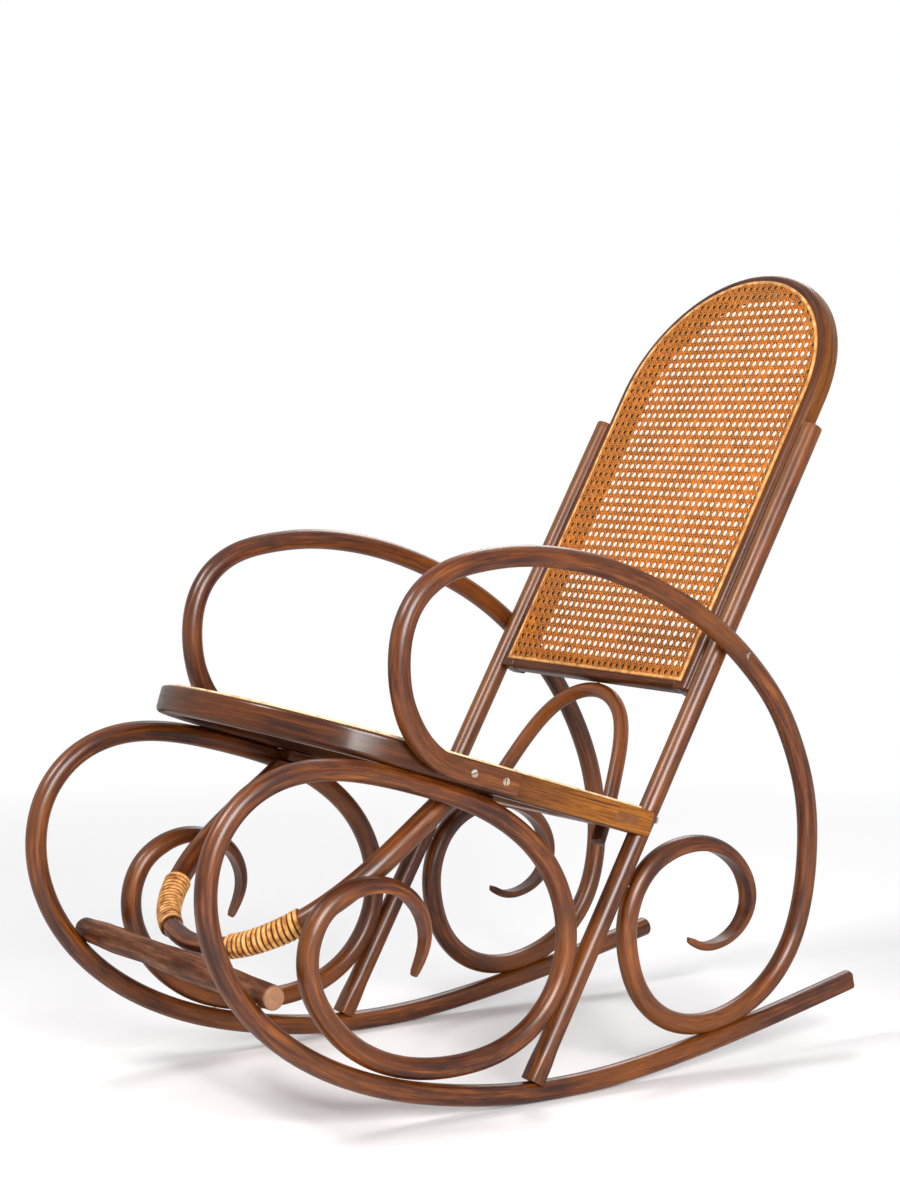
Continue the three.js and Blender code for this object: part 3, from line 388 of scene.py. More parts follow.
def stick(bm, line, across, section, sides=ROD_SIDES, spacing=0.006, ends=(0.003, 0.003)):
    """A bent stick along a line. section(place, k) gives point k of its outline there.

    `ends` are the radii that its first and its last edge are rounded by.
    """
    stops = evenly(line, spacing)
    stations = framed(stops, across)
    whole = stops[-1][1]
    rounding = [(1 - math.cos(turn), 1 - math.sin(turn)) for turn in END_TURNS]
    rings = [(*stations[0], ends[0] * ahead, ends[0] * less) for ahead, less in rounding]
    rings += [(turned, place, 0, 0) for turned, place in stations
              if ends[0] < place < whole - ends[1]]
    rings += [(*stations[-1], -ends[1] * ahead, ends[1] * less) for ahead, less in rounding[::-1]]

    def place_at(i, k):
        turned, place, ahead, less = rings[i]
        a, b = section(place, k)
        size = math.hypot(a, b)
        keep = max(size - less, CORE_SHARE * size) / size
        local = Vector((a * keep, b * keep, ahead))
        return turned @ local, local + Vector((0, 0, place))

    rolled(bm, len(rings), sides, place_at)


def bent(name, node, material, line, across, section, on=("left",), slot="bent_wood", **how):
    """A piece that is one stick along a line. `on` is its sides, and `how` goes to stick()."""
    bm = new_bmesh()
    stick(bm, line, across, section, **how)
    smooth(bm)
    piece(name, bm, material, [node], on)


def smoothstep(x, low, high):
    t = min(max((x - low) / (high - low), 0), 1)
    return t * t * (3 - 2 * t)


def mixed(a, b, share):
    return a + (b - a) * share


def round_section(radius_at):
    def section(place, k):
        angle = 2 * math.pi * k / ROD_SIDES
        radius = radius_at(place)
        return radius * math.cos(angle), radius * math.sin(angle)
    return section


def squared_round(k, power, wide, deep):
    """Point k round a rod of two half thicknesses: an ellipse at power 2, and squarer above it."""
    angle = 2 * math.pi * k / ROD_SIDES
    c, s = math.cos(angle), math.sin(angle)
    return (math.copysign(abs(c) ** (2 / power), c) * wide,
            math.copysign(abs(s) ** (2 / power), s) * deep)


def rounded(corners, radii, segments=5, support=0.0012):
    """An outline with each corner rounded by its radius, and points beside each round."""
    bm = bmesh.new()
    verts = [bm.verts.new((x, y, 0)) for x, y in corners]
    bm.faces.new(verts)
    for vert, radius in zip(verts, radii):
        bmesh.ops.bevel(bm, geom=[vert], offset=radius, offset_type="OFFSET", segments=segments,
                        profile=0.5, affect="VERTICES", material=-1)
    bm.faces.ensure_lookup_table()
    plain = [v.co.to_2d() for v in bm.faces[0].verts]
    bm.free()
    outline = []
    for a, b in zip(plain, plain[1:] + plain[:1]):
        outline.append(tuple(a))
        length = (b - a).length
        if length > 4 * support:
            outline.append(tuple(a.lerp(b, support / length)))
            outline.append(tuple(b.lerp(a, support / length)))
    return outline


def block(bm, size, middle_matrix, bevel=0.0015):
    """A wooden block with softened edges; its grain runs along its X."""
    grain = bm.verts.layers.float_vector["grain"]
    made = bmesh.ops.create_cube(bm, size=1)["verts"]
    bmesh.ops.scale(bm, vec=size, verts=made)
    edges = list({e for v in made for e in v.link_edges})
    rounded_off = bmesh.ops.bevel(bm, geom=edges, offset=bevel, offset_type="OFFSET", segments=3,
                                  profile=0.5, affect="EDGES", material=-1, clamp_overlap=True)
    verts = list({v for v in rounded_off["verts"]} | {v for v in made if v.is_valid})
    for v in verts:
        v[grain] = Vector((v.co.y, v.co.z, v.co.x))
    bmesh.ops.transform(bm, matrix=middle_matrix, verts=verts)


# Finishes
def new_material(name):
    material = bpy.data.materials.new(name)
    material.use_nodes = True
    nodes = material.node_tree.nodes
    return material, nodes, material.node_tree.links, nodes["Principled BSDF"]


def grain_of(nodes):
    """A piece's own attribute: its place twice across its section and once along it."""
    attribute = nodes.new("ShaderNodeAttribute")
    attribute.attribute_name = "grain"
    return attribute.outputs["Vector"]


def place_of(nodes):
    return nodes.new("ShaderNodeTexCoord").outputs["Object"]


def part_of(nodes, links, vector, axis):
    parts = nodes.new("ShaderNodeSeparateXYZ")
    links.new(vector, parts.inputs["Vector"])
    return parts.outputs[axis]


def worked_out(nodes, links, operation, *values):
    made = nodes.new("ShaderNodeMath")
    made.operation = operation
    for socket, value in zip(made.inputs, values):
        links.new(value, socket)
    return made.outputs["Value"]


def bumped(nodes, links, shader, height, strength, distance):
    bump = nodes.new("ShaderNodeBump")
    bump.inputs["Strength"].default_value = strength
    bump.inputs["Distance"].default_value = distance
    links.new(height, bump.inputs["Height"])
    links.new(bump.outputs["Normal"], shader.inputs["Normal"])


def noise_of(nodes, links, vector, scale, detail=4, rough=0.55, stretch=(1, 1, 1), shift=(0, 0, 0)):
    mapping = nodes.new("ShaderNodeMapping")
    mapping.inputs["Scale"].default_value = stretch
    mapping.inputs["Location"].default_value = shift
    links.new(vector, mapping.inputs["Vector"])
    texture = nodes.new("ShaderNodeTexNoise")
    texture.inputs["Scale"].default_value = scale
    texture.inputs["Detail"].default_value = detail
    texture.inputs["Roughness"].default_value = rough
    links.new(mapping.outputs["Vector"], texture.inputs["Vector"])
    return texture.outputs["Fac"]


def ramp(nodes, links, value, stops):
    made = nodes.new("ShaderNodeValToRGB")
    elements = made.color_ramp.elements
    elements[0].position, elements[0].color = stops[0][0], (*stops[0][1], 1)
    elements[1].position, elements[1].color = stops[-1][0], (*stops[-1][1], 1)
    for place, colour in stops[1:-1]:
        elements.new(place).color = (*colour, 1)
    links.new(value, made.inputs["Fac"])
    return made.outputs["Color"]


def ranged(nodes, links, value, low, high, to_low, to_high):
    made = nodes.new("ShaderNodeMapRange")
    links.new(value, made.inputs["Value"])
    for socket, number in zip(("From Min", "From Max", "To Min", "To Max"),
                              (low, high, to_low, to_high)):
        made.inputs[socket].default_value = number
    return made.outputs["Result"]


def blended(nodes, links, kind, share, a, b):
    made = nodes.new("ShaderNodeMix")
    made.data_type = "RGBA"
    made.blend_type = kind
    for socket, value in ((made.inputs["Factor"], share), (made.inputs["A"], a),
                          (made.inputs["B"], b)):
        if hasattr(value, "is_linked"):
            links.new(value, socket)
        elif isinstance(value, tuple):
            socket.default_value = (*value, 1)
        else:
            socket.default_value = value
    return made.outputs["Result"]


def polished_wood(name, dark, middle, light, rough=0.36, coat=0.3, gloss=0.3, amber_and_sheen=None,
                  ends=None):
    """Stained bent beech. The grain follows each stick, and patches of stain lie over it.

    With amber, a stick's outer side is painted lighter and amber; it is given as (colour, which way
    its outer side faces, from where to where along Y, how much). This is partly the wood's own
    lighter tone and partly a painted warm sheen where light falls on that side. `ends` is (colour,
    from where to where along X) of a stick whose two ends are worn.
    """
    material, nodes, links, shader = new_material(name)
    grain = grain_of(nodes)
    place = place_of(nodes)
    streaks = noise_of(nodes, links, grain, 1, detail=6, rough=0.62, stretch=STREAKS_FINE)
    fibres = noise_of(nodes, links, grain, 1, detail=4, rough=0.6, stretch=FIBRES_FINE)
    ripples = noise_of(nodes, links, grain, 1, detail=1, stretch=RIPPLES_FINE)
    patches = noise_of(nodes, links, grain, 1, detail=5, rough=0.62, stretch=PATCHES_FINE,
                       shift=(3, 5, 2))
    broad = noise_of(nodes, links, place, 4, detail=2, shift=(4, 1, 7))
    colour = ramp(nodes, links, streaks, [(0.28, dark), (0.46, middle), (0.72, light)])
    patch_share = ranged(nodes, links, patches, 0.43, 0.64, 0, 0.72)
    colour = blended(nodes, links, "MIX", patch_share, colour, dark)
    broad_share = ranged(nodes, links, broad, 0.46, 0.68, 0, 0.5)
    colour = blended(nodes, links, "MIX", broad_share, colour, light)
    # Painted warm sheen: the outer side is made lighter and amber, partly as the wood's own tone.
    if amber_and_sheen:
        tone, way, start, end, most = amber_and_sheen
        face, full = (way * out for out in AMBER_SHEEN_SIDE)
        outer = ranged(nodes, links, part_of(nodes, links, grain, "Y"), face, full, 0, 1)
        along = ranged(nodes, links, part_of(nodes, links, place, "Y"), start, end, 0, most)
        share = worked_out(nodes, links, "MULTIPLY", outer, along)
        amber_sheen_tone = ramp(nodes, links, streaks, [(0.3, middle), (0.5, tone), (0.75, light)])
        colour = blended(nodes, links, "MIX", share, colour, amber_sheen_tone)
    if ends:
        tone, start, full = ends
        sideways = worked_out(nodes, links, "ABSOLUTE", part_of(nodes, links, place, "X"))
        share = ranged(nodes, links, sideways, start, full, 0, 0.8)
        colour = blended(nodes, links, "MIX", share, colour, tone)
    fibre_tone = ramp(nodes, links, fibres, [(0.36, (0.36, 0.27, 0.22)), (0.52, (1, 1, 1))])
    colour = blended(nodes, links, "MULTIPLY", 0.75, colour, fibre_tone)
    links.new(colour, shader.inputs["Base Color"])
    worn = ranged(nodes, links, patches, 0.3, 0.7, rough - 0.07, rough + 0.13)
    links.new(worn, shader.inputs["Roughness"])
    shader.inputs["Specular IOR Level"].default_value = 0.05
    shader.inputs["Coat Weight"].default_value = coat
    shader.inputs["Coat IOR"].default_value = 1.9
    shader.inputs["Coat Roughness"].default_value = gloss
    bumped(nodes, links, shader, ripples, strength=0.12, distance=0.0004)
    return material


def cane_finish(name, dark, middle, light, edges, painted_edge_tone, aged=0.55, rough=0.42):
    """Split cane: a hard satin skin, long fine streaks, and darker where age has stained it.

    `edges` are how far from a strand's middle its painted edge tone starts and is full: a painted
    highlight along the strand's edges where that tone is pale, painted shade between the strands
    where it is dark. `aged` is how much its darkest patches are stained.
    """
    material, nodes, links, shader = new_material(name)
    grain = grain_of(nodes)
    place = place_of(nodes)
    streaks = noise_of(nodes, links, grain, 1, detail=3, stretch=CANE_STREAKS_FINE)
    strands = noise_of(nodes, links, place, 90, detail=2)
    age = noise_of(nodes, links, place, 7, detail=4)
    colour = ramp(nodes, links, strands, [(0.3, dark), (0.5, middle), (0.7, light)])
    age_share = ranged(nodes, links, age, 0.4, 0.66, 0, aged)
    colour = blended(nodes, links, "MIX", age_share, colour, dark)
    tone = ramp(nodes, links, streaks, [(0.3, (0.7, 0.64, 0.56)), (0.6, (1, 1, 1))])
    colour = blended(nodes, links, "MULTIPLY", 0.8, colour, tone)
    # Painted edge tone across each strand: a painted highlight where it is pale, painted shade
    # between strands where it is dark.
    from_middle = worked_out(nodes, links, "ABSOLUTE", part_of(nodes, links, grain, "Y"))
    painted_edge_share = ranged(nodes, links, from_middle, *edges, 0, 0.85)
    colour = blended(nodes, links, "MIX", painted_edge_share, colour, painted_edge_tone)
    links.new(colour, shader.inputs["Base Color"])
    worn = ranged(nodes, links, streaks, 0.3, 0.7, rough - 0.08, rough + 0.12)
    links.new(worn, shader.inputs["Roughness"])
    shader.inputs["Specular IOR Level"].default_value = 0.12
    shader.inputs["Coat Weight"].default_value = 0.06
    shader.inputs["Coat Roughness"].default_value = 0.25
    bumped(nodes, links, shader, streaks, strength=0.3, distance=0.0002)
    return material


def steel_finish(name):
    material, nodes, links, shader = new_material(name)
    tarnish = noise_of(nodes, links, place_of(nodes), 420, detail=4)
    colour = ramp(nodes, links, tarnish, [(0.35, (0.3, 0.24, 0.18)), (0.62, (0.68, 0.64, 0.58))])
    links.new(colour, shader.inputs["Base Color"])
    links.new(ranged(nodes, links, tarnish, 0.3, 0.7, 0.5, 0.28), shader.inputs["Roughness"])
    shader.inputs["Metallic"].default_value = 1
    return material


# The amber on the outer sides of the rods, the seat and the arch is partly a painted warm sheen.
rod_wood = polished_wood(
    "bent rods", dark=(0.012, 0.002, 0.0004), middle=(0.083, 0.016, 0.0016),
    light=(0.25, 0.074, 0.009), amber_and_sheen=((0.18, 0.065, 0.006), -1, 0.05, 0.25, 0.6))
seat_wood = polished_wood(
    "seat sticks", dark=(0.012, 0.003, 0.0009), middle=(0.045, 0.011, 0.0025),
    light=(0.12, 0.033, 0.006), coat=0.2, gloss=0.18,
    amber_and_sheen=((0.33, 0.11, 0.008), -1, -0.14, 0.04, 0.9))
back_wood = polished_wood(
    "back sticks", dark=(0.014, 0.003, 0.0008), middle=(0.06, 0.014, 0.0025),
    light=(0.15, 0.042, 0.005), coat=0.2, gloss=0.26,
    amber_and_sheen=((0.19, 0.06, 0.003), 1, 0.3, 0.45, 0.85))
rail_wood = polished_wood(
    "seat's rear rail", dark=(0.1, 0.032, 0.006), middle=(0.17, 0.056, 0.009),
    light=(0.26, 0.09, 0.014))
bar_wood = polished_wood(
    "worn foot bar", dark=(0.026, 0.007, 0.003), middle=(0.115, 0.036, 0.013),
    light=(0.3, 0.125, 0.055), rough=0.5, coat=0.08, ends=((0.3, 0.16, 0.09), 0.2345, 0.2385))
# Its pale strand edges are a painted highlight, the glint on each strand's bevelled edge.
aged_cane = cane_finish(
    "woven cane", dark=(0.1, 0.022, 0.003), middle=(0.29, 0.066, 0.0055),
    light=(0.52, 0.15, 0.015), edges=(0.00095, 0.00125), painted_edge_tone=(0.9, 0.39, 0.075), aged=0.75)
# The dark strand edges of these three canes are painted shade in the gaps between strands.
pale_cane = cane_finish(
    "pale cane strand", dark=(0.36, 0.13, 0.035), middle=(0.72, 0.38, 0.12),
    light=(0.86, 0.58, 0.26), edges=(0.0017, 0.0027), painted_edge_tone=(0.36, 0.13, 0.035))
# The seat border's cane is a paler copy of the back border's: a painted highlight where light falls
# on it.
lit_seat_border_cane = cane_finish(
    "seat border cane, painted lit", dark=(0.5, 0.3, 0.13), middle=(0.85, 0.66, 0.38),
    light=(0.92, 0.8, 0.55), edges=(0.0021, 0.003), painted_edge_tone=(0.5, 0.3, 0.13), aged=0.3)
wound_cane = cane_finish(
    "wound cane", dark=(0.2, 0.07, 0.018), middle=(0.66, 0.3, 0.085),
    light=(0.85, 0.5, 0.19), edges=(0.0019, 0.0028), painted_edge_tone=(0.1, 0.03, 0.008), aged=0.15)
steel = steel_finish("slotted steel")


# Side frames
def scroll_end(whole, thins):
    """A rod whose inner side is cut away towards its tip, so that a ridge runs along each edge."""
    def section(place, k):
        angle = 2 * math.pi * k / ROD_SIDES
        left = max(whole - place, 0)
        half = ROD * mixed(TIP_SHARE, 1, min(left / thins, 1) ** TIP_POWER)
        cut_at = ROD - 2 * half
        wide, outwards = ROD * math.cos(angle), ROD * math.sin(angle)
        if outwards < cut_at:
            chord = math.sqrt(max(ROD ** 2 - cut_at ** 2, 0))
            outwards = cut_at
            wide = max(-chord, min(chord, wide))
        narrow = mixed(TIP_WIDTH_SHARE, 1, min(left / TIP_NARROWS, 1) ** TIP_WIDTH_POWER)
        return wide * narrow, -(outwards - (ROD - half))
    return section


def runner_section(whole):
    """The runner's rear end is planed flat on its outer side."""
    thinned = scroll_end(whole, RUNNER_THINS)

    def section(place, k):
        wide, deep = thinned(place, k)
        planed = REAR_FLAT * (1 - smoothstep(place, REAR_FLAT_FROM, REAR_FLAT_TO))
        return min(wide, ROD - planed), deep
    return section


def arm_section(whole):
    """The arm starts flat, on the seat's side, and is a full rod before it meets the post."""
    thinned = scroll_end(whole, ARM_THINS)

    def section(place, k):
        if place > ARM_FLAT_TO:
            return thinned(place, k)
        rounding = smoothstep(place, ARM_FLAT_FROM, ARM_FLAT_TO)
        return squared_round(k, mixed(ARM_FLAT_POWER, 2, rounding),
                             mixed(ARM_FLAT, ROD, rounding), -ROD)
    return section


def length_of(line):
    return sum((b - a).length for a, b in zip(line, line[1:]))


def arm_out(share):
    if share > 1:
        return SIDE_OUT + mixed(BESIDE_POST, BESIDE_SEAT, share - 1)
    return SIDE_OUT + BESIDE_POST * share


# The runner is worn flat where it stands on the floor
runner_line = smoothly([on_frame(p) for p in RUNNER])
bm = new_bmesh()
stick(bm, runner_line, X_AXIS, runner_section(length_of(runner_line)), ends=(0.005, 0.003))
for v in bm.verts:
    v.co.z = max(v.co.z, 0)
smooth(bm)
piece("bent_runner_SIDE", bm, rod_wood, ["runner_SIDE"], BOTH)

arm_line = smoothly([on_frame((back, up), arm_out(out)) for out, back, up in ARM])
bent("bent_arm_SIDE", "arm_SIDE", rod_wood, arm_line, X_AXIS, arm_section(length_of(arm_line)),
     on=BOTH, ends=(0.002, 0.003))


# Posts
def post_section(place, k):
    squared = 1 - smoothstep(place, POST_SQUARE, POST_ROUND)
    return squared_round(k, mixed(2, POST_FOOT_POWER, squared), ROD, ROD * (1 - POST_SLIMS * squared))


post_line = [on_back(SIDE_OUT, POST_CUT), on_back(SIDE_OUT, POST_LENGTH)]
bent("straight_post_SIDE", "back_post_SIDE", rod_wood, post_line, X_AXIS, post_section,
     on=BOTH, spacing=0.01, ends=(0.0006, 0.0015))


# Seat
def half_round(half, rise, spring, at, count=64):
    """Points from one side over a half ellipse to the other, each placed by at(out, along)."""
    return [at(half * math.cos(math.pi * k / count), spring + rise * math.sin(math.pi * k / count))
            for k in range(count + 1)]


def outline_section(outline):
    return lambda place, k: outline[k]


hoop_half = SEAT_HALF - SEAT_WOOD / 2
hoop_line = ([on_seat(hoop_half, 0)]
             + half_round(hoop_half, SEAT_ROUND - SEAT_WOOD / 2, SEAT_LENGTH - SEAT_ROUND,
                          lambda out, along: on_seat(out, -along))
             + [on_seat(-hoop_half, 0)])
hoop_outline = rounded([(0, -SEAT_WOOD / 2), (0, SEAT_WOOD / 2), (-SEAT_THICK, SEAT_WOOD / 2),
                        (-SEAT_THICK, -SEAT_WOOD / 2)], SEAT_HOOP_ROUNDS)
bent("bent_seat_hoop", "seat_hoop", seat_wood, hoop_line, UP_SEAT, outline_section(hoop_outline),
     sides=len(hoop_outline), spacing=0.008, ends=(0.0015, 0.0015))

# Its rear rail, whose tenons run through the hoop
bm = new_bmesh()
block(bm, (2 * (SEAT_HALF - SEAT_WOOD - GAP), SEAT_RAIL_WIDTH, SEAT_RAIL_THICK),
      plane_at(on_seat(0, SEAT_RAIL_AT, -SEAT_THICK / 2), X_AXIS, REARWARDS))
block(bm, (2 * (SEAT_HALF + TENON_PROUD), TENON_WIDTH, TENON_THICK),
      plane_at(on_seat(0, TENON_AT, -SEAT_THICK / 2), X_AXIS, REARWARDS), bevel=TENON_ROUND)
smooth(bm)
piece("seat_cross_rail", bm, rail_wood, ["seat_rear_rail"])

# Back's frame
stick_half = BACK_WOOD / 2
arch_line = ([on_back(BACK_HALF - stick_half, BACK_RAIL_UP)]
             + half_round(BACK_HALF - stick_half, ARCH_RISE - stick_half, ARCH_SPRING,
                          lambda out, along: on_back(out, along))
             + [on_back(stick_half - BACK_HALF, BACK_RAIL_UP)])
stick_outline = rounded([(BACK_FRONT, -stick_half), (BACK_FRONT, stick_half),
                         (-BACK_REAR, stick_half), (-BACK_REAR, -stick_half)],
                        BACK_STICK_ROUNDS, segments=7)
bent("bent_back_frame", "back_frame", back_wood, arch_line, OUT_FRONT,
     outline_section(stick_outline), sides=len(stick_outline), spacing=0.008)

rail_half = BACK_HALF - BACK_WOOD - GAP
rail_line = [on_back(-rail_half, BACK_RAIL_UP), on_back(rail_half, BACK_RAIL_UP)]
rail_outline = rounded([(BACK_FRONT, 0), (BACK_FRONT, BACK_RAIL_HEIGHT),
                        (-BACK_RAIL_REAR, BACK_RAIL_HEIGHT), (-BACK_RAIL_REAR, 0)],
                       BACK_RAIL_ROUNDS, segments=6)
bent("back_lower_rail", "back_bottom_rail", back_wood, rail_line, OUT_FRONT,
     outline_section([(a, -b) for a, b in rail_outline]), sides=len(rail_outline),
     spacing=0.02, ends=(0.0008, 0.0008))


# Leg rest and its windings
leg_line = smoothly([on_leg(*p) for p in both_sides(LEG)])
leg_length = length_of(leg_line)


def leg_radius(from_middle):
    return mixed(LEG_ROD, LEG_END, smoothstep(from_middle, WINDING_FROM, WINDING_TO))


bm = new_bmesh()
stick(bm, leg_line, LEG_NORMAL, round_section(lambda place: leg_radius(abs(place - leg_length / 2))))
under_block = on_seat(0, 0, -SEAT_THICK - BLOCK_THICK - 2 * GAP)
bmesh.ops.bisect_plane(bm, geom=bm.verts[:] + bm.edges[:] + bm.faces[:], dist=SAME_PLACE,
                       plane_co=under_block, plane_no=UP_SEAT, clear_outer=True)
fill_ends(bm)
smooth(bm)
piece("bent_leg_rest", bm, rod_wood, ["leg_rest_hoop"])

strand = rounded([(STRAND_THICK / 2, STRAND_WIDTH / 2), (-STRAND_THICK / 2, STRAND_WIDTH / 2),
                  (-STRAND_THICK / 2, -STRAND_WIDTH / 2), (STRAND_THICK / 2, -STRAND_WIDTH / 2)],
                 STRAND_ROUNDS, segments=5, support=0.0004)
leg_stops = evenly(leg_line, LEG_FINE_STEP)


def winding_ring(i):
    """Step i of the winding: its centre, the way out of the hoop there and the way ahead."""
    along = WINDING_FROM + i / TURN_STEPS * WINDING_PITCH
    at = (leg_length / 2 - along) / leg_length * (len(leg_stops) - 1)
    low = int(at)
    middle = leg_stops[low][0].lerp(leg_stops[low + 1][0], at - low)
    front, rear = leg_stops[low - LEG_AHEAD_STEPS][0], leg_stops[low + LEG_AHEAD_STEPS][0]
    ahead = (front - rear).normalized()
    round_way = LEG_NORMAL.cross(ahead)
    angle = 2 * math.pi * i / TURN_STEPS
    out = LEG_NORMAL * math.cos(angle) + round_way * math.sin(angle)
    radius = leg_radius(along) + STRAND_THICK / 2 + WINDING_LIFT
    return middle + out * radius, out, ahead


def winding_place(i, k):
    centre, out, ahead = winding_ring(i)
    a, b = strand[k]
    return centre + out * a + ahead * b, Vector((a, b, i / TURN_STEPS * TURN_LENGTH))


bm = new_bmesh()
rolled(bm, WINDING_TURNS * TURN_STEPS + 1, len(strand), winding_place)
smooth(bm)
piece("cane_winding_SIDE", bm, wound_cane, ["leg_rest_winding_SIDE"], BOTH)

# Blocks that the leg rest's ends meet
leg_rise = on_leg(0, 0) - on_seat(0, 0)
run = (-SEAT_THICK - GAP - BLOCK_THICK - leg_rise.dot(UP_SEAT)) / DOWN_LEG.dot(UP_SEAT)
leg_meets = leg_rise.dot(REARWARDS) + run * DOWN_LEG.dot(REARWARDS)
block_middle = on_seat(SEAT_HALF - SEAT_WOOD + BLOCK_PAST_SEAT - BLOCK_WIDTH / 2,
                       leg_meets + BLOCK_BEHIND_LEG, -SEAT_THICK - GAP - BLOCK_THICK / 2)
bm = new_bmesh()
block(bm, (BLOCK_LENGTH, BLOCK_WIDTH, BLOCK_THICK), plane_at(block_middle, REARWARDS, -X_AXIS),
      bevel=BLOCK_ROUND)
smooth(bm)
piece("leg_block_SIDE", bm, seat_wood, ["leg_rest_block_SIDE"], BOTH)

# Foot bar. On its profile X is how far along the bar, and Y is its radius there.
bar_last = len(FOOT_BAR_SHARES) - 1
bar_profile = smoothly([
    Vector((mixed(-FOOT_BAR_HALF, FOOT_BAR_HALF, i / bar_last), FOOT_BAR_RADIUS * share, 0))
    for i, share in enumerate(FOOT_BAR_SHARES)], FOOT_BAR_STEPS)


def bar_section(place, k):
    step = round(place / (2 * FOOT_BAR_HALF) * FOOT_BAR_STEPS)
    angle = 2 * math.pi * k / ROD_SIDES
    knock_at = Vector((math.cos(angle), math.sin(angle), place * KNOCKS_ALONG))
    radius = bar_profile[min(step, FOOT_BAR_STEPS)].y + noise.noise(knock_at) * KNOCK_DEPTH
    return radius * math.cos(angle), radius * math.sin(angle)


bar_line = [on_frame(FOOT_BAR, -FOOT_BAR_HALF), on_frame(FOOT_BAR, FOOT_BAR_HALF)]
bent("round_foot_bar", "foot_bar", bar_wood, bar_line, Z_AXIS, bar_section,
     slot="worn_wood", ends=(0.0045, 0.0045))

# Small hoop behind the seat
under_rear = (on_seat(0, 0, -SEAT_THICK) - on_back(0, 0)).dot(UP_POST)
lumbar_top = BACK_RAIL_UP - LUMBAR_ROD - GAP
lumbar_line = smoothly([
    on_back(out * LUMBAR_HALF, mixed(under_rear - LUMBAR_HANG, lumbar_top, up), -LUMBAR_BEHIND)
    for out, up in both_sides(LUMBAR)])
bent("small_rear_hoop", "lumbar_hoop", rod_wood, lumbar_line, OUT_FRONT,
     round_section(lambda place: LUMBAR_ROD))


# Woven cane
def back_inside(out, up):
    """Whether a point of the back's plane lies where its cane does, up to just under the border."""
    half = BACK_HALF - BACK_BORDER_INSET - BORDER_WIDTH + CANE_UNDER
    rise = ARCH_RISE - BACK_BORDER_INSET - BORDER_WIDTH + CANE_UNDER
    if up < BACK_BORDER_UP + BORDER_WIDTH - CANE_UNDER:
        return False
    return (out / half) ** 2 + (max(up - ARCH_SPRING, 0) / rise) ** 2 < 1


def seat_inside(out, back):
    half = SEAT_HALF - SEAT_BORDER_INSET - BORDER_WIDTH + CANE_UNDER
    rise = SEAT_ROUND - SEAT_BORDER_INSET - BORDER_WIDTH + CANE_UNDER
    if back > -SEAT_BORDER_REAR - BORDER_WIDTH + CANE_UNDER:
        return False
    return (out / half) ** 2 + (max(SEAT_ROUND - SEAT_LENGTH - back, 0) / rise) ** 2 < 1


def inside_run(start, ahead, whole, inside):
    """Where a straight line from `start` enters and leaves the cane's outline."""
    def within(place):
        return inside(*(start + ahead * place))

    places = [whole * i / RUN_STEPS for i in range(RUN_STEPS + 1)]
    kept = [place for place in places if within(place)]
    if len(kept) < 3:
        return None
    run = []
    for edge, step in ((kept[0], -whole / RUN_STEPS), (kept[-1], whole / RUN_STEPS)):
        good, bad = edge, edge + step
        for _ in range(RUN_HALVINGS):
            middle = (good + bad) / 2
            good, bad = (middle, bad) if within(middle) else (good, middle)
        run.append(good)
    return run


def strip(bm, start, ahead, whole, width, heights, inside):
    """A strand of cane; `heights` are (distance along it, how far over or under) in order."""
    run = inside_run(start, ahead, whole, inside)
    if not run or run[1] - run[0] < SHORTEST_STRAND:
        return
    points = [(p, h) for p, h in heights if run[0] < p < run[1]]
    points = [(run[0], 0)] + points + [(run[1], 0)]
    grain = bm.verts.layers.float_vector["grain"]
    verts = bmesh.ops.create_grid(bm, x_segments=len(points) - 1, y_segments=1, size=0.5)["verts"]
    across = Vector((-ahead.y, ahead.x))
    for v in verts:
        i = round((v.co.x + 0.5) * (len(points) - 1))
        side = 1 if v.co.y > 0 else -1
        place, height = points[i]
        flat = start + ahead * place + across * side * width / 2
        v.co = Vector((flat.x, flat.y, height))
        v[grain] = Vector((start.x + start.y, side * width / 2, place))


def pitches(low, high, pitch):
    """The middles between holes from low to high."""
    return [(n + 0.5) * pitch
            for n in range(math.floor(low / pitch) - 1, math.ceil(high / pitch) + 1)]


def pair_heights(start, crossings, node, hole, way):
    """How a strand of a pair goes under the one and over the other strand of each pair it meets."""
    heights = []
    for crossing in crossings:
        at = crossing - start
        heights += [(at - node, -way * OVER_UNDER), (at + node, way * OVER_UNDER), (at + hole / 2, 0)]
    return heights


def uprights(low, high, columns, rows, inside):
    bm = new_bmesh()
    for column in columns:
        for side in (-1, 1):
            heights = pair_heights(low[1], rows, NODE_UP, HOLE_UP, side)
            start = Vector((column + side * NODE_ACROSS, low[1]))
            strip(bm, start, Vector((0, 1)), high[1] - low[1], UPRIGHT_WIDTH, heights, inside)
    return bm


def cross_rows(low, high, columns, rows, inside):
    bm = new_bmesh()
    for row in rows:
        for side in (-1, 1):
            heights = pair_heights(low[0], columns, NODE_ACROSS, HOLE_ACROSS, -side)
            start = Vector((low[0], row + side * NODE_UP))
            strip(bm, start, Vector((1, 0)), high[0] - low[0], ROW_WIDTH, heights, inside)
    return bm


def slants(low, high, inside):
    """Strands that slant two ways, and take turns to lie over where they cross."""
    bm = new_bmesh()
    cell = math.hypot(HOLE_ACROSS, HOLE_UP)
    reach = math.ceil((high[1] - low[1]) / HOLE_UP) + 1
    first = math.floor(low[0] / HOLE_ACROSS) - 1 - reach
    last = math.ceil(high[0] / HOLE_ACROSS)
    foot = math.floor(low[1] / HOLE_UP) * HOLE_UP
    head = math.ceil(high[1] / HOLE_UP) * HOLE_UP
    for way, base in ((1, foot), (-1, head)):
        ahead = Vector((HOLE_ACROSS, way * HOLE_UP)) / cell
        heights = [(i * cell / 4, way * SLANT_OVER * math.cos(math.pi * i / 2))
                   for i in range(4 * reach)]
        for n in range(first, last + 1):
            start = Vector(((n + 0.5) * HOLE_ACROSS, base))
            strip(bm, start, ahead, reach * cell, SLANT_WIDTH, heights, inside)
    return bm


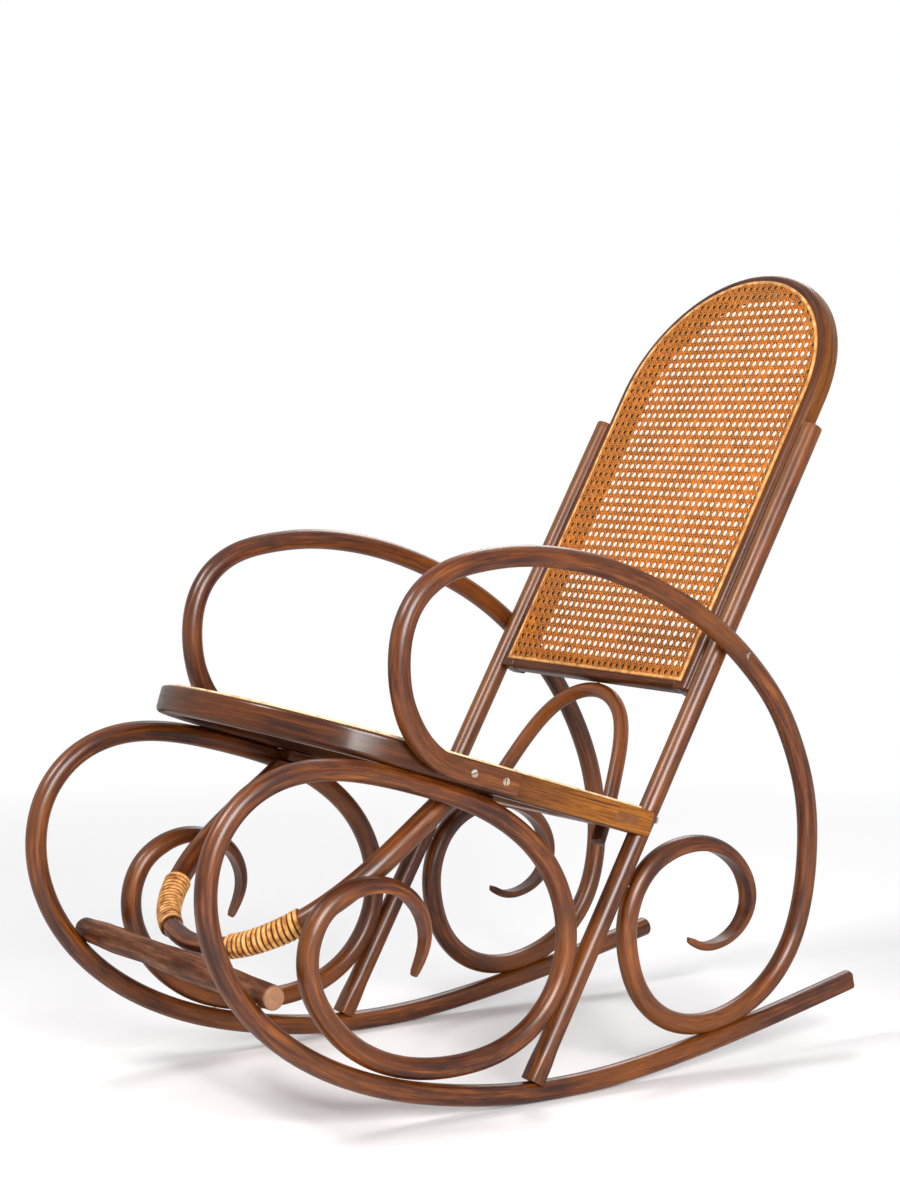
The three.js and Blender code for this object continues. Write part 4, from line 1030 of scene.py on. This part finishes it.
def woven(name, node, plane, level, low, high, inside):
    """The cane between two corners of its plane: uprights, rows and two ways of slanting strands."""
    columns = pitches(low[0], high[0], HOLE_ACROSS)
    rows = pitches(low[1], high[1], HOLE_UP)
    made = {"uprights": uprights(low, high, columns, rows, inside),
            "rows": cross_rows(low, high, columns, rows, inside),
            "slants": slants(low, high, inside)}
    for kind, bm in made.items():
        bmesh.ops.transform(bm, matrix=plane @ Matrix.Translation((0, 0, level)), verts=bm.verts)
        obj = piece(f"{name}_{kind}", bm, aged_cane, [node])
        solid = obj.modifiers.new("thickness", "SOLIDIFY")
        solid.thickness = CANE_THICK
        solid.offset = 0


woven("back_cane", "back_cane_panel", BACK_PLANE, BACK_FRONT + CANE_LEVEL,
      BACK_CANE_LOW, BACK_CANE_HIGH, back_inside)
woven("seat_cane", "seat_cane_panel", SEAT_PLANE, CANE_LEVEL,
      SEAT_CANE_LOW, SEAT_CANE_HIGH, seat_inside)

# Raised border round each panel
border_outline = rounded([(BORDER_PROUD, -BORDER_WIDTH / 2), (BORDER_PROUD, BORDER_WIDTH / 2),
                          (-BORDER_DEEP, BORDER_WIDTH / 2), (-BORDER_DEEP, -BORDER_WIDTH / 2)],
                         BORDER_ROUNDS, segments=4, support=0.0005)
in_back = BACK_BORDER_INSET + BORDER_WIDTH / 2
in_seat = SEAT_BORDER_INSET + BORDER_WIDTH / 2


def border(name, node, material, normal, sides_line, cross_line, level):
    """One strand up the sides and round the arch or front, and a straight one across."""
    bm = new_bmesh()
    for line in (sides_line, cross_line):
        stick(bm, [point + normal * level for point in line], normal, outline_section(border_outline),
              sides=len(border_outline), ends=(0.001, 0.0008))
    smooth(bm)
    piece(name, bm, material, [node])


back_foot = BACK_BORDER_UP + BORDER_WIDTH / 2
border("back_cane_edge", "back_cane_border", pale_cane, OUT_FRONT,
       [on_back(BACK_HALF - in_back, BACK_BORDER_UP)]
       + half_round(BACK_HALF - in_back, ARCH_RISE - in_back, ARCH_SPRING,
                    lambda out, along: on_back(out, along))
       + [on_back(in_back - BACK_HALF, BACK_BORDER_UP)],
       [on_back(BACK_HALF - in_back, back_foot), on_back(in_back - BACK_HALF, back_foot)], BACK_FRONT)
seat_rear = -SEAT_BORDER_REAR - BORDER_WIDTH / 2
# Its paler cane is a painted highlight on the seat's border.
border("seat_cane_edge", "seat_cane_border", lit_seat_border_cane, UP_SEAT,
       [on_seat(SEAT_HALF - in_seat, -SEAT_BORDER_REAR)]
       + half_round(SEAT_HALF - in_seat, SEAT_ROUND - in_seat, SEAT_LENGTH - SEAT_ROUND,
                    lambda out, along: on_seat(out, -along))
       + [on_seat(in_seat - SEAT_HALF, -SEAT_BORDER_REAR)],
       [on_seat(SEAT_HALF - in_seat, seat_rear), on_seat(in_seat - SEAT_HALF, seat_rear)], 0)


# Screws
def head_faces(bm):
    """The faces in the flat of a screw's head, which lies in the plane of X and Y."""
    return [f for f in bm.faces if abs(f.calc_center_median().z) < SAME_PLACE]


def verts_of(geom):
    return [g for g in geom if isinstance(g, bmesh.types.BMVert)]


def slotted_screw(bm, head_at, length, turn):
    """A flat-headed screw down from its own origin, with a slot across its head."""
    one = new_bmesh()
    bmesh.ops.create_cone(one, cap_ends=True, segments=SCREW_SIDES, radius1=SHANK_RADIUS,
                          radius2=SHANK_RADIUS, depth=length - HEAD_HEIGHT,
                          matrix=Matrix.Translation((0, 0, -(length + HEAD_HEIGHT) / 2)))
    bmesh.ops.create_circle(one, cap_ends=True, segments=SCREW_SIDES, radius=HEAD_RADIUS)
    for side in (-SLOT_HALF, SLOT_HALF):
        top = head_faces(one)
        geom = top + list({e for f in top for e in f.edges}) + list({v for f in top for v in f.verts})
        bmesh.ops.bisect_plane(one, geom=geom, dist=1e-7, plane_co=(side, 0, 0), plane_no=X_AXIS)
    slot = [f for f in head_faces(one) if abs(f.calc_center_median().x) < SLOT_HALF / 2]
    sunk = bmesh.ops.extrude_face_region(one, geom=slot)["geom"]
    bmesh.ops.delete(one, geom=slot, context="FACES_ONLY")
    bmesh.ops.translate(one, vec=(0, 0, -SLOT_DEPTH), verts=verts_of(sunk))
    rim = [e for e in one.edges if e.is_boundary]
    under = verts_of(bmesh.ops.extrude_edge_only(one, edges=rim)["geom"])
    bmesh.ops.scale(one, vec=(HEAD_UNDER_SHARE, HEAD_UNDER_SHARE, 1), verts=under)
    bmesh.ops.translate(one, vec=(0, 0, -HEAD_HEIGHT), verts=under)
    bmesh.ops.transform(one, matrix=head_at @ Matrix.Rotation(turn, 4, "Z"), verts=one.verts)
    mesh = bpy.data.meshes.new("screw")
    one.to_mesh(mesh)
    one.free()
    bm.from_mesh(mesh)
    bpy.data.meshes.remove(mesh)


def screw_place(node):
    """The matrix at the middle of a screw's head, Z outwards, and the screw's length."""
    points = [v.co.copy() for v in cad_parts[node].data.vertices]
    centre = sum(points, Vector()) / len(points)
    tip = max(points, key=lambda p: (p - centre).length)
    out = (centre - tip).normalized()
    length = max((p - tip).dot(out) for p in points)
    turned = out.to_track_quat("Z", "Y").to_matrix().to_4x4()
    turned.translation = tip + out * length
    return turned, length


screw_nodes = sorted(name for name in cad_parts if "screw" in name)
bm = new_bmesh()
for i, node in enumerate(screw_nodes):
    head_at, length = screw_place(node)
    rise = 0
    if node.startswith("arm_post"):
        rise = ARM_POST_RISE
    elif not node.startswith("arm_front"):
        rise = -SUNK_IN_ROD
    head_at = head_at @ Matrix.Translation((0, 0, rise))
    slotted_screw(bm, head_at, length + rise, SCREW_TURN * i)
smooth(bm, sharp=math.radians(30))
piece("slotted_screws", bm, steel, screw_nodes)


# Floor and studio light
def light(name, place, aim, size, power, tint=(1, 1, 1)):
    lamp = bpy.data.lights.new(name, "AREA")
    lamp.shape = "RECTANGLE"
    lamp.size, lamp.size_y = size
    lamp.energy = power
    lamp.color = tint
    obj = bpy.data.objects.new(name, lamp)
    obj.location = place
    obj.rotation_euler = (Vector(aim) - Vector(place)).to_track_quat("-Z", "Y").to_euler()
    scene.collection.objects.link(obj)


light("window", place=(0, -2.5, 2.9), aim=(0, 0, 0.6), size=(0.8, 1.1), power=90, tint=DAYLIGHT)
light("side window", place=(3, -1, 1.6), aim=(0, 0, 0.5), size=(1.3, 1.5), power=155, tint=DAYLIGHT)
light("rim", place=(-1.6, 1.8, 2.4), aim=(0, 0, 0.5), size=(1.2, 1.2), power=40)


def light_seen(nodes, links):
    """1 for what the camera sees straight, in a reflection or through something clear."""
    path = nodes.new("ShaderNodeLightPath")
    seen = path.outputs["Is Camera Ray"]
    for output in ("Is Glossy Ray", "Is Transmission Ray"):
        seen = worked_out(nodes, links, "MAXIMUM", seen, path.outputs[output])
    return seen


# White where it is seen, and a plain pale glow where it lights the chair
world = bpy.data.worlds.new("studio")
scene.world = world
world.use_nodes = True
sky = world.node_tree.nodes
join = world.node_tree.links
glow = sky["Background"]
glow.inputs["Color"].default_value = (*GLOW, 1)
glow.inputs["Strength"].default_value = GLOW_STRENGTH
white = sky.new("ShaderNodeBackground")
white.inputs["Color"].default_value = (1, 1, 1, 1)
white.inputs["Strength"].default_value = 1
mix = sky.new("ShaderNodeMixShader")
join.new(light_seen(sky, join), mix.inputs["Fac"])
join.new(glow.outputs["Background"], mix.inputs[1])
join.new(white.outputs["Background"], mix.inputs[2])
join.new(mix.outputs["Shader"], sky["World Output"].inputs["Surface"])

# The floor is pale near the chair and white far off
bm = bmesh.new()
bmesh.ops.create_circle(bm, cap_ends=True, segments=FLOOR_SIDES, radius=FLOOR_RADIUS)
bmesh.ops.translate(bm, vec=(0, 0, -FLOOR_UNDER), verts=bm.verts)
floor_mesh = bpy.data.meshes.new("floor")
bm.to_mesh(floor_mesh)
bm.free()
floor = bpy.data.objects.new("floor", floor_mesh)
scene.collection.objects.link(floor)
pale, nodes, links, shader = new_material("pale floor")
shader.inputs["Base Color"].default_value = (*FLOOR_COLOUR, 1)
shader.inputs["Roughness"].default_value = FLOOR_ROUGHNESS
away = nodes.new("ShaderNodeVectorMath")
away.operation = "LENGTH"
links.new(place_of(nodes), away.inputs[0])
fade = ranged(nodes, links, away.outputs["Value"], *FLOOR_FADES, 0, 1)
plain_white = nodes.new("ShaderNodeEmission")
join_floor = nodes.new("ShaderNodeMixShader")
links.new(worked_out(nodes, links, "MULTIPLY", fade, light_seen(nodes, links)),
          join_floor.inputs["Fac"])
links.new(shader.outputs["BSDF"], join_floor.inputs[1])
links.new(plain_white.outputs["Emission"], join_floor.inputs[2])
links.new(join_floor.outputs["Shader"], nodes["Material Output"].inputs["Surface"])
floor_mesh.materials.append(pale)

scene.view_settings.view_transform = "Standard"
